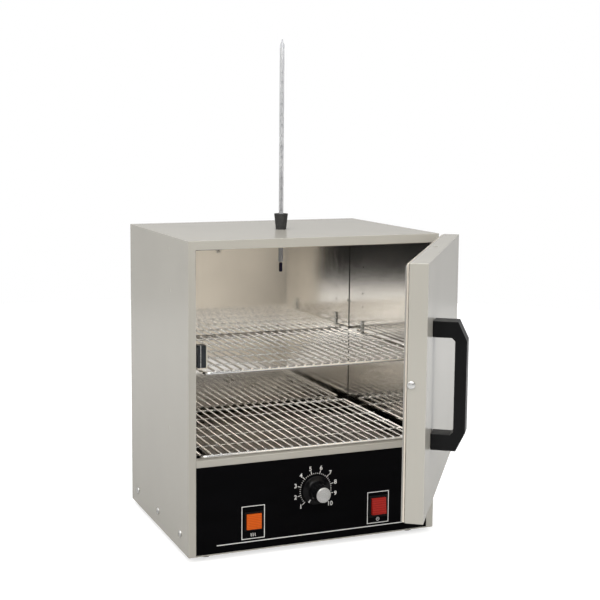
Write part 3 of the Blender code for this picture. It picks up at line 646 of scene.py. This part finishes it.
def knob(finish, cap_finish, ink):
    """The dial knob with its skirt, its metal cap and the pointer printed on its skirt."""
    low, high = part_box("dial_knob")
    centre = (low + high) / 2
    centre.y = high.y
    skirt = (high.x - low.x) / 2
    depth = high.y - low.y
    profile = [(0.0, 0.0), (skirt - 0.0005, 0.0), (skirt, 0.0006), (skirt, 0.0022)]
    profile += rounded((skirt - 0.0012, 0.0022), 0.0012, 0, 75, 5)
    profile += [(0.0160, 0.0042), (0.0137, 0.0052), (0.0127, 0.0064), (0.0122, 0.0085), (0.0118, 0.0150)]
    profile += [(0.0113, depth - 0.0008), *rounded((0.0106, depth - 0.0006), 0.0006, 0, 90, 4), (0.0, depth)]
    turned_piece("dial_knob_finished", profile, centre, FRONTWARD, finish, "dial_knob", 96)
    cap_low, cap_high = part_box("knob_cap")
    radius, thick = (cap_high.x - cap_low.x) / 2, cap_high.y - cap_low.y
    face = [(0.0, 0.0), (radius, 0.0), (radius, thick - 0.0004), (radius - 0.0005, thick), (0.0, thick)]
    cap_centre = (centre.x, cap_high.y, centre.z)
    turned_piece("knob_cap_finished", face, cap_centre, FRONTWARD, cap_finish, "knob_cap", 96)
    pointer = bmesh.new()
    add_box(pointer, (-0.00055, -0.0001, 0.0150), (0.00055, 0.0006, 0.0187))
    tip = [(0.0, 0.0), (0.0009, 0.0), (0.0009, 0.0006), (0.0, 0.0006)]
    add_turned(pointer, tip, (0, 0.0, 0.0187), REARWARD, 16)
    tilt = Matrix.Rotation(math.radians(12), 4, "X")
    swing = Matrix.Rotation(-DIAL_SPAN / 2, 4, "Y")
    front = Matrix.Translation((centre.x, centre.y - 0.0044, centre.z))
    obj = object_from("knob_pointer", pointer, ink)
    obj.matrix_world = front @ swing @ tilt
    place(obj, "temperature_knob", "black_plastic")


def panel_print(ink):
    """The dial's ticks, dots and numbers, the outlines round the lamp and the switch, and the rule."""
    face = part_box("control_panel")[0].y
    dial = sum(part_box("dial_knob"), Vector()) / 2
    y = (face - INK_LIFT, face - INK_LIFT + INK_DEPTH)
    bm = bmesh.new()
    step = DIAL_SPAN / (DIAL_COUNT - 1)
    for i in range(DIAL_COUNT):
        angle = -DIAL_SPAN / 2 + step * i
        add_mark(bm, dial, angle, TICK_RADII, TICK_WIDTH, y)
        for dot in range(1, DOTS_PER_STEP + 1 if i < DIAL_COUNT - 1 else 0):
            between = angle + step * dot / (DOTS_PER_STEP + 1)
            add_mark(bm, dial, between, DOT_RADII, DOT_WIDTH, y)
    middles = {node: (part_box(node)[0].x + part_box(node)[1].x) / 2 for node in OUTLINE_TOPS}
    for node, top in OUTLINE_TOPS.items():
        corner = (middles[node] - OUTLINE_HALF_WIDTH, OUTLINE_BOTTOM)
        add_outline(bm, corner, (middles[node] + OUTLINE_HALF_WIDTH, top), OUTLINE_LINE, y)
    add_box(bm, (RULE_LOW[0], y[0], RULE_LOW[1]), (RULE_HIGH[0], y[1], RULE_HIGH[1]))
    obj = object_from("panel_print_lines", bm, ink)
    place(obj, "cabinet", "black_panel")
    for i in range(DIAL_COUNT):
        angle = -DIAL_SPAN / 2 + step * i
        x, z = dial.x + DIGIT_RADIUS * math.sin(angle), dial.z + DIGIT_RADIUS * math.cos(angle)
        lettering(f"dial_number_{i + 1}", str(i + 1), (x, y[0], z), DIGIT_HEIGHT, ink)
    symbols = bmesh.new()
    add_heat_symbol(symbols, middles["lamp_lens"], SYMBOL_HEIGHT, y)
    add_power_symbol(symbols, middles["power_rocker"], SYMBOL_HEIGHT, y)
    place(object_from("panel_print_symbols", symbols, ink), "cabinet", "black_panel")


def add_mark(bm, centre, angle, radii, width, y):
    """A short radial line on the panel at a clock angle."""
    made = bmesh.ops.create_cube(bm, size=1.0)
    size = Matrix.Diagonal((width, y[1] - y[0], radii[1] - radii[0], 1.0))
    out = Matrix.Translation((0, 0, sum(radii) / 2))
    turn = Matrix.Rotation(angle, 4, "Y")
    where = Matrix.Translation((centre.x, sum(y) / 2, centre.z))
    bmesh.ops.transform(bm, matrix=where @ turn @ out @ size, verts=made["verts"])


def add_outline(bm, low, high, line, y):
    """A printed rectangle's four lines."""
    (left, bottom), (right, top) = low, high
    add_box(bm, (left, y[0], bottom), (left + line, y[1], top))
    add_box(bm, (right - line, y[0], bottom), (right, y[1], top))
    add_box(bm, (left + line, y[0], bottom), (right - line, y[1], bottom + line))
    add_box(bm, (left + line, y[0], top - line), (right - line, y[1], top))


def add_ribbon(bm, points, width, y):
    """A printed line of even width through points (x, z)."""
    rows = []
    for i, point in enumerate(points):
        before, after = points[max(i - 1, 0)], points[min(i + 1, len(points) - 1)]
        along = Vector((after[0] - before[0], after[1] - before[1])).normalized() * (width / 2)
        edges = [(point[0] - side * along.y, point[1] + side * along.x) for side in (-1, 1)]
        for depth in y:
            rows.append([bm.verts.new((edge_x, depth, edge_z)) for edge_x, edge_z in edges])
    for front, back, next_front, next_back in zip(rows[::2], rows[1::2], rows[2::2], rows[3::2]):
        bm.faces.new((front[0], front[1], next_front[1], next_front[0]))
        bm.faces.new((back[0], next_back[0], next_back[1], back[1]))


def add_heat_symbol(bm, x, z, y):
    """Three wavy upright lines."""
    for shift in (-0.0028, 0.0, 0.0028):
        points = []
        for t in range(17):
            sway = 0.0005 * math.sin(t * math.pi / 4)
            points.append((x + shift + sway, z - 0.0022 + 0.0044 * t / 16))
        add_ribbon(bm, points, SYMBOL_LINE, y)


def add_power_symbol(bm, x, z, y):
    """A broken ring with an upright stroke in its gap."""
    angles = [math.radians(120 + 300 * t / 24) for t in range(25)]
    ring = [(x + 0.0021 * math.cos(angle), z + 0.0021 * math.sin(angle)) for angle in angles]
    add_ribbon(bm, ring, SYMBOL_LINE, y)
    add_box(bm, (x - SYMBOL_LINE / 2, y[0], z), (x + SYMBOL_LINE / 2, y[1], z + 0.0027))


def wrapped_number(name, text, centre, radius, z, finish):
    """A number printed round the thermometer's stem, so that no corner of it stands off the glass."""
    curve = bpy.data.curves.new(name, "FONT")
    curve.body = text
    curve.size = NUMBER_HEIGHT
    curve.align_x = "CENTER"
    curve.align_y = "CENTER"
    curve.extrude = MARK_DEPTH / 2
    flat = bpy.data.objects.new(f"{name}_flat", curve)
    mesh = bpy.data.meshes.new_from_object(flat)
    mesh.name = name
    bpy.data.objects.remove(flat)
    for vertex in mesh.vertices:
        across, upward, out = vertex.co
        angle = SCALE_FACING + 0.05 + across / radius
        reach = radius + out
        vertex.co = (centre[0] + reach * math.cos(angle), centre[1] + reach * math.sin(angle), z + upward)
    mesh.materials.clear()
    mesh.materials.append(finish)
    obj = bpy.data.objects.new(name, mesh)
    bpy.context.scene.collection.objects.link(obj)
    place(obj, "thermometer", "clear_glass")


def lettering(name, text, where, height, finish):
    """A printed number, centred, facing the front."""
    curve = bpy.data.curves.new(name, "FONT")
    curve.body = text
    curve.size = height
    curve.align_x = "CENTER"
    curve.align_y = "CENTER"
    curve.extrude = INK_DEPTH / 2
    curve.offset = height * 0.018
    curve.materials.append(finish)
    obj = bpy.data.objects.new(name, curve)
    bpy.context.scene.collection.objects.link(obj)
    obj.matrix_world = Matrix.Translation(where) @ Matrix.Rotation(math.pi / 2, 4, "X")
    place(obj, "cabinet", "black_panel")


def thermometer(glass, ink, enamel, liquid):
    """The stem with a button at its top, the bulb, the enamel strip behind the liquid, and the scale."""
    low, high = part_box("thermometer_stem")
    axis = (low + high) / 2
    radius = (high.x - low.x) / 2
    centre = (axis.x, axis.y, 0.0)
    profile = [(0.0, low.z), (radius * 0.7, low.z), (radius, low.z + 0.0012), (radius, high.z - 0.0085)]
    profile += [(radius * 0.92, high.z - 0.0072), (radius * 0.62, high.z - 0.0058)]
    profile += [(radius * 0.42, high.z - 0.0045), (radius * 0.45, high.z - 0.0020)]
    profile += [(radius * 0.30, high.z - 0.0004), (0.0, high.z)]
    turned_piece("thermometer_glass", profile, centre, UP, glass, "thermometer_stem", 48)
    bulb_low, bulb_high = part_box("thermometer_bulb")
    bulb = (bulb_high.x - bulb_low.x) / 2
    shape = [(0.0, bulb_low.z), *rounded((bulb - 0.0012, bulb_low.z + 0.0012), 0.0012, -90, 0, 5)[1:]]
    shape += [(bulb, bulb_high.z - 0.0014), (bulb * 0.8, bulb_high.z - 0.0004), (0.0, bulb_high.z)]
    turned_piece("thermometer_bulb_finished", shape, centre, UP, liquid, "thermometer_bulb", 40)
    back = bmesh.new()
    strip_range = (low.z + 0.004, high.z - 0.012)
    add_arc_strip(back, centre, radius * 0.62, strip_range, SCALE_FACING + math.pi, 1.25, 0.0003)
    place(object_from("thermometer_enamel_back", back, enamel), "thermometer", "clear_glass")
    column = bmesh.new()
    foot = low.z + 0.0015
    thread = [(0.0, foot), (COLUMN_RADIUS, foot), (COLUMN_RADIUS, COLUMN_TOP), (0.0, COLUMN_TOP)]
    add_turned(column, thread, centre, UP, 12)
    place(object_from("thermometer_column", column, liquid), "thermometer", "dark_liquid")
    marks = bmesh.new()
    pitch = (SCALE_HIGH - SCALE_LOW) / SCALE_STEPS
    for i in range(SCALE_STEPS * 10 + 1):
        z = SCALE_LOW + pitch * i / 10
        half_angle = 0.60 if i % 10 == 0 else 0.42 if i % 5 == 0 else 0.28
        thick = 0.00034 if i % 10 == 0 else 0.00016
        heights = (z - thick / 2, z + thick / 2)
        add_arc_strip(marks, centre, radius + MARK_LIFT, heights, SCALE_FACING, half_angle, MARK_DEPTH)
    place(object_from("thermometer_scale", marks, ink), "thermometer", "clear_glass")
    for i in range(SCALE_STEPS):
        z = SCALE_LOW + pitch * (i + 0.12)
        wrapped_number(f"thermometer_number_{i}", str(i * 10), centre, radius + MARK_LIFT, z, ink)


def add_arc_strip(bm, centre, radius, z_range, facing, half_angle, depth, steps=8):
    """Part of a thin tube's wall, centred on a direction."""
    rows = []
    for i in range(steps + 1):
        angle = facing + half_angle * (2 * i / steps - 1)
        column = []
        for r in (radius, radius - depth):
            x, y = centre[0] + r * math.cos(angle), centre[1] + r * math.sin(angle)
            column += [bm.verts.new((x, y, z)) for z in z_range]
        rows.append(column)
    for a, b in zip(rows, rows[1:]):
        for i, j in ((0, 1), (1, 3), (3, 2), (2, 0)):
            bm.faces.new((a[i], a[j], b[j], b[i]))
    for end in (rows[0], rows[-1]):
        bm.faces.new((end[0], end[1], end[3], end[2]))


def stopper(finish):
    """The tapered rubber stopper with a rounded top edge and its bore."""
    low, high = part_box("rubber_stopper")
    centre = (low + high) / 2
    top = (high.x - low.x) / 2
    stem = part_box("thermometer_stem")
    bore = (stem[1].x - stem[0].x) / 2 + 0.00005
    vertices = frame["nodes"]["rubber_stopper"].data.vertices
    reaches = [(vertex.co.xy - centre.xy).length for vertex in vertices if abs(vertex.co.z - low.z) < 1e-5]
    bottom = min(reach for reach in reaches if reach > 0.005)
    edge = 0.0006
    profile = [(bore, low.z), (bottom - edge, low.z), (bottom, low.z + edge)]
    profile += rounded((top - edge, high.z - edge), edge, 0, 90, 4)
    profile += [(bore, high.z), (bore, low.z)]
    foot = (centre.x, centre.y, 0.0)
    turned_piece("rubber_stopper_finished", profile, foot, UP, finish, "rubber_stopper")


def feet(finish):
    for side in ("left", "right"):
        for end in ("front", "rear"):
            node = f"foot_{side}_{end}"
            low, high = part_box(node)
            centre = (low + high) / 2
            radius = (high.x - low.x) / 2
            profile = [(0.0, low.z), (radius * 0.80, low.z)]
            profile += rounded((radius * 0.86, low.z + 0.0009), 0.0009, -90, 0, 4)
            profile += [(radius, high.z - 0.0004), (radius - 0.0004, high.z), (0.0, high.z)]
            turned_piece(f"{node}_finished", profile, (centre.x, centre.y, 0.0), UP, finish, node, 48)


def cord_gland(finish):
    """The cord's gland: a sleeve through the back cover and a round flange behind it."""
    low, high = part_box("cord_gland")
    centre = (low + high) / 2
    flange = (high.x - low.x) / 2
    bore = 0.004
    start, end = low.y, high.y
    seat = end - 0.0082
    profile = [(bore, start), (0.0083, start), (0.0083, seat), (flange, seat), (flange, seat + 0.0017)]
    profile += [(0.0100, seat + 0.0022), (0.0094, end - 0.0008), (0.0086, end)]
    profile += [(bore + 0.0006, end), (bore, end - 0.0006), (bore, start)]
    turned_piece("cord_gland_finished", profile, (centre.x, 0.0, centre.z), REARWARD, finish, "cord_gland")


def hinge_pins(finish):
    for level in ("upper", "lower"):
        node = f"hinge_pin_{level}"
        low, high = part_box(node)
        centre = (low + high) / 2
        head = (high.x - low.x) / 2
        pin = 0.0015
        profile = [(0.0, low.z), (pin - 0.0003, low.z), (pin, low.z + 0.0003)]
        profile += [(pin, high.z - 0.0017), (head, high.z - 0.0017)]
        profile += [*rounded((head - 0.0008, high.z - 0.0008), 0.0008, 0, 90, 4), (0.0, high.z)]
        turned_piece(f"{node}_finished", profile, (centre.x, centre.y, 0.0), UP, finish, node, 40)


def liner_details(dark, seam, rivet):
    """Holes for the shelf clips, the folded corners' shadow lines and the corner rivets."""
    low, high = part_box("chamber_liner")
    wall = high.x - LINER_SHEET
    rear = high.y - LINER_SHEET
    ceiling = high.z - LINER_SHEET
    holes = bmesh.new()
    clip_ys = [sum(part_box(f"shelf_clip_left_{end}"), Vector()).y / 2 for end in ("front", "rear")]
    for side in (-1, 1):
        for y in clip_ys:
            for z in CLIP_HOLE_HEIGHTS:
                disc = [(0.0, 0.0), (0.0015, 0.0), (0.0015, 0.00006), (0.0, 0.00006)]
                add_turned(holes, disc, (side * (wall - 0.00001), y, z), (-side, 0, 0), 16)
    place(object_from("liner_clip_holes", holes, dark), "cabinet", "aluminium")
    lines = bmesh.new()
    for side in (-1, 1):
        x = side * (wall - 0.0004)
        add_box(lines, (x - 0.0004, rear - 0.0003, low.z + 0.002), (x + 0.0004, rear, ceiling - 0.0005))
    place(object_from("liner_corner_seams", lines, seam), "cabinet", "aluminium")
    rivets = bmesh.new()
    for side in (-1, 1):
        for z in RIVET_HEIGHTS:
            head = [(0.0, 0.0), (0.0019, 0.0), (0.0017, 0.0004), (0.0011, 0.0008), (0.0, 0.0009)]
            add_turned(rivets, head, (side * wall, rear - 0.0055, z), (-side, 0, 0), 20)
    place(object_from("liner_rivets", rivets, rivet), "cabinet", "aluminium")


def back_details(screw_finish, dark):
    """The back cover's own screws."""
    low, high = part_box("back_cover")
    heads = bmesh.new()
    slots = bmesh.new()
    inset = BACK_SCREW_INSET
    for x in (low.x + inset, (low.x + high.x) / 2, high.x - inset):
        for z in (low.z + inset, high.z - inset):
            seat = Vector((x, high.y, z))
            add_turned(heads, dome_profile(0.0036, 0.0017), seat, REARWARD, 32)
            for reach in ((0.0019, 0.00035), (0.00035, 0.0019)):
                corner = Vector((reach[0], 0, reach[1]))
                top = seat + Vector((0, 0.0014, 0))
                add_box(slots, top - corner, top + corner + Vector((0, 0.00034, 0)))
    place(object_from("back_cover_screws", heads, screw_finish), "cabinet", "plated_steel")
    place(object_from("back_cover_screw_slots", slots, dark), "cabinet", "plated_steel")


def side_details(finish):
    """Faint spot-weld dimples on the cabinet's sides."""
    low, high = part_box("cabinet_shell")
    dimples = bmesh.new()
    for side, face in ((-1, low.x), (1, high.x)):
        for behind_front, z in WELD_DIMPLES:
            ring = [(0.0, 0.0), (0.0030, 0.0), (0.0026, 0.00022), (0.0014, 0.00028), (0.0, 0.0001)]
            add_turned(dimples, ring, (face, low.y + behind_front, z), (side, 0, 0), 32)
    place(object_from("spot_weld_dimples", dimples, finish), "cabinet", "beige_paint")


def camera():
    """The camera, from its azimuth, elevation and roll."""
    data = bpy.data.cameras.new("photo_view")
    data.lens = CAMERA_LENS
    data.sensor_width = 36.0
    data.shift_x, data.shift_y = CAMERA_SHIFT
    data.clip_end = 30.0
    obj = bpy.data.objects.new("photo_view", data)
    bpy.context.scene.collection.objects.link(obj)
    right = Vector((math.cos(CAMERA_AZIMUTH), math.sin(CAMERA_AZIMUTH), 0.0))
    back = Vector((
        math.sin(CAMERA_AZIMUTH) * math.cos(CAMERA_ELEVATION),
        -math.cos(CAMERA_AZIMUTH) * math.cos(CAMERA_ELEVATION),
        math.sin(CAMERA_ELEVATION),
    ))
    up = back.cross(right)
    rolled_right = math.cos(CAMERA_ROLL) * right + math.sin(CAMERA_ROLL) * up
    rolled_up = math.cos(CAMERA_ROLL) * up - math.sin(CAMERA_ROLL) * right
    turn = Matrix((rolled_right, rolled_up, back)).transposed().to_4x4()
    obj.matrix_world = Matrix.Translation(CAMERA_PLACE) @ turn
    bpy.context.scene.camera = obj


def soft_light(name, where, target, size, power, colour=(1.0, 1.0, 1.0)):
    data = bpy.data.lights.new(name, "AREA")
    data.shape = "RECTANGLE"
    data.size, data.size_y = size
    data.energy = power
    data.color = colour
    obj = bpy.data.objects.new(name, data)
    bpy.context.scene.collection.objects.link(obj)
    aim = (Vector(target) - Vector(where)).to_track_quat("-Z", "Y").to_matrix().to_4x4()
    obj.matrix_world = Matrix.Translation(where) @ aim
    return obj


def room_light():
    """A room that is dark at eye level and light overhead, before a backdrop that looks white."""
    world = bpy.data.worlds.new("studio_room")
    world.use_nodes = True
    tree = world.node_tree

    def node(kind, **values):
        made = tree.nodes.new(kind)
        for label, value in values.items():
            made.inputs[label.replace("_", " ")].default_value = value
        return made

    path = node("ShaderNodeLightPath")
    place_node = node("ShaderNodeTexCoord")
    split = node("ShaderNodeSeparateXYZ")
    tree.links.new(place_node.outputs["Generated"], split.inputs["Vector"])
    levels = {"To_Min": HORIZON_LIGHT, "To_Max": BACKDROP_LIGHT}
    behind = node("ShaderNodeMapRange", **levels, From_Min=-0.1, From_Max=0.4)
    tree.links.new(split.outputs["Y"], behind.inputs["Value"])
    height = node("ShaderNodeMapRange", To_Max=CEILING_LIGHT, From_Min=0.05, From_Max=0.8)
    tree.links.new(split.outputs["Z"], height.inputs["Value"])
    tree.links.new(behind.outputs["Result"], height.inputs["To Min"])
    strength = node("ShaderNodeMapRange", To_Max=1.0)
    tree.links.new(path.outputs["Is Camera Ray"], strength.inputs["Value"])
    tree.links.new(height.outputs["Result"], strength.inputs["To Min"])
    background = tree.nodes["Background"]
    background.inputs["Color"].default_value = (1.0, 1.0, 1.0, 1.0)
    tree.links.new(strength.outputs["Result"], background.inputs["Strength"])
    bpy.context.scene.world = world


def pale_floor():
    """A white sweep that looks as light as the backdrop and throws only part of that light back."""
    floor = bmesh.new()
    bmesh.ops.create_circle(floor, cap_ends=True, segments=96, radius=FLOOR_RADIUS)
    finish = Surface("pale_floor", (0.50, 0.50, 0.50), 0.9)
    finish.tint(finish.noise(3.0), (0.49, 0.49, 0.49), (0.51, 0.51, 0.51))
    finish.shader.inputs["Emission Color"].default_value = (1.0, 1.0, 1.0, 1.0)
    away = finish.node("ShaderNodeVectorMath", operation="LENGTH")
    finish.link(finish.coordinates, away.inputs[0])
    seen = finish.spread(away.outputs["Value"], FLOOR_SEEN, 1.0, 0.5, FLOOR_RADIUS)
    path = finish.node("ShaderNodeLightPath")
    glow = finish.node("ShaderNodeMapRange")
    finish.link(path.outputs["Is Camera Ray"], glow.inputs["Value"])
    finish.link(finish.spread(away.outputs["Value"], 0.0, FLOOR_GLOW, 0.3, 1.4), glow.inputs["To Min"])
    finish.link(seen, glow.inputs["To Max"])
    finish.link(glow.outputs["Result"], finish.shader.inputs["Emission Strength"])
    obj = object_from("floor", floor, finish.material)
    obj.location.z = cad_bounds[0].z


def studio():
    """Soft lights round the incubator. The fill light gives no reflection of its own."""
    bpy.context.scene.view_settings.view_transform = "Standard"
    room_light()
    soft_light("key", (-0.8, -1.9, 1.9), (0.0, -0.1, 0.2), (2.2, 1.5), KEY_POWER, (1.0, 0.99, 0.97))
    soft_light("overhead", (-0.2, 0.1, 2.4), (0.0, 0.0, 0.3), (2.2, 2.2), OVERHEAD_POWER)
    soft_light("side", (-1.8, -0.1, 1.5), (0.0, -0.2, 0.25), (0.9, 1.2), SIDE_POWER, (1.0, 0.97, 0.93))
    fill = soft_light("fill", (1.5, -1.7, 0.9), (0.0, -0.1, 0.2), (1.6, 1.4), FILL_POWER)
    fill.visible_glossy = False
    pale_floor()


def build():
    """Every finish and every piece."""
    paint = paint_finish()
    sheet_up = rolled_aluminium("liner_aluminium", (0.83, 0.805, 0.765), (1.0, 1.0, 0.06))
    sheet_flat = rolled_aluminium("door_aluminium", (0.96, 0.89, 0.78), (0.06, 1.0, 1.0), (0.40, 0.52))
    plated = plated_finish("zinc_plate", (0.62, 0.62, 0.61))
    bright = plated_finish("bright_screw", (0.85, 0.85, 0.84), (0.30, 0.42))
    chrome = chrome_finish()
    plastic = plastic_finish("black_plastic", (0.0050, 0.0050, 0.0055), 0.32)
    knob_plastic = plastic_finish("knob_plastic", (0.004, 0.004, 0.0045), 0.20, 2600.0)
    ferrite = plastic_finish("catch_ferrite", (0.028, 0.030, 0.034), 0.30, 900.0)
    rubber = rubber_finish("stopper_rubber", (0.020, 0.020, 0.020), (0.14, 0.14, 0.135), 0.36)
    foot_rubber = rubber_finish("foot_rubber", (0.018, 0.018, 0.018), (0.05, 0.05, 0.05), 0.34)
    silicone = rubber_finish("gasket_silicone", (0.36, 0.35, 0.33), (0.42, 0.41, 0.39), 0.40)
    orange = lens_finish("orange_lens", (0.58, 0.095, 0.007), 0.0022, 0.13)
    red = lens_finish("red_lens", (0.33, 0.018, 0.013), 0.0030, 0.07)
    ink = ink_finish()
    dark = dark_hole_finish()
    glass = glass_finish()
    enamel = plastic_finish("enamel_back", (0.78, 0.78, 0.76), 0.4)
    liquid = plastic_finish("dark_liquid", (0.016, 0.012, 0.035), 0.12)
    wool = wool_finish()

    for node in ("cabinet_shell", "door_outer_shell"):
        refined(node, paint, 0.0009)
    refined("sill_rail", paint, 0.0005)
    refined("back_cover", paint, 0.0004)
    refined("bottom_pan", paint, 0.0004)
    refined("control_panel", panel_finish(), 0.0003)
    refined("chamber_liner", sheet_up, 0.0004)
    # The floor baffle takes a painted-shade colour, dark brown for the darkness beneath the lower shelf.
    refined("floor_baffle", shade_painted_baffle_finish(), 0.0003)
    refined("door_inner_panel", sheet_flat, 0.0006)
    refined("door_gasket", silicone, 0.0005)
    refined("door_handle", plastic, 0.0020, 0.8, 4)
    refined("lamp_housing", plastic, 0.0004)
    refined("switch_housing", plastic, 0.0004)
    refined("lamp_lens", orange, 0.0008)
    refined("power_rocker", red, 0.0008)
    refined("catch_bracket", sheet_flat, 0.0003)
    for node in ("catch_magnet_left", "catch_magnet_right"):
        refined(node, ferrite, 0.0004)
    refined("catch_pole_plate", plated, 0.0002)
    refined("strike_plate", plated, 0.0003)
    for side in ("left", "right"):
        for end in ("front", "rear"):
            refined(f"shelf_clip_{side}_{end}", plated, 0.0004)
    for level in ("upper", "lower"):
        for part in ("cabinet", "door"):
            refined(f"hinge_leaf_{part}_{level}", plated, 0.0003)
        wire_shelf(level, chrome)
    for node in ("insulation_wrap", "insulation_back", "insulation_floor", "door_insulation"):
        dress(node, wool)
    dress("heating_element", oxide_finish())
    for node in ("thermostat_body", "terminal_block"):
        dress(node, plastic)
    for node in ("thermostat_shaft", "thermostat_capillary"):
        dress(node, plated)

    knob_centre = sum(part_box("knob_cap"), Vector()) / 2
    knob(knob_plastic, brushed_cap_finish(knob_centre), ink)
    panel_print(ink)
    thermometer(glass, dark, enamel, liquid)
    stopper(rubber)
    feet(foot_rubber)
    cord_gland(plastic)
    hinge_pins(plated)
    for place_name in ("front", "middle", "rear"):
        screw_head(f"side_screw_left_{place_name}", LEFTWARD, bright, dark)
        screw_head(f"side_screw_right_{place_name}", RIGHTWARD, bright, dark)
    screw_head("door_edge_screw", LEFTWARD, bright, dark)
    for level in ("upper", "lower"):
        screw_head(f"handle_screw_{level}", REARWARD, plated, dark)
    liner_details(dark, dark, plated)
    back_details(plated, dark)
    side_details(paint)


build()
camera()
studio()
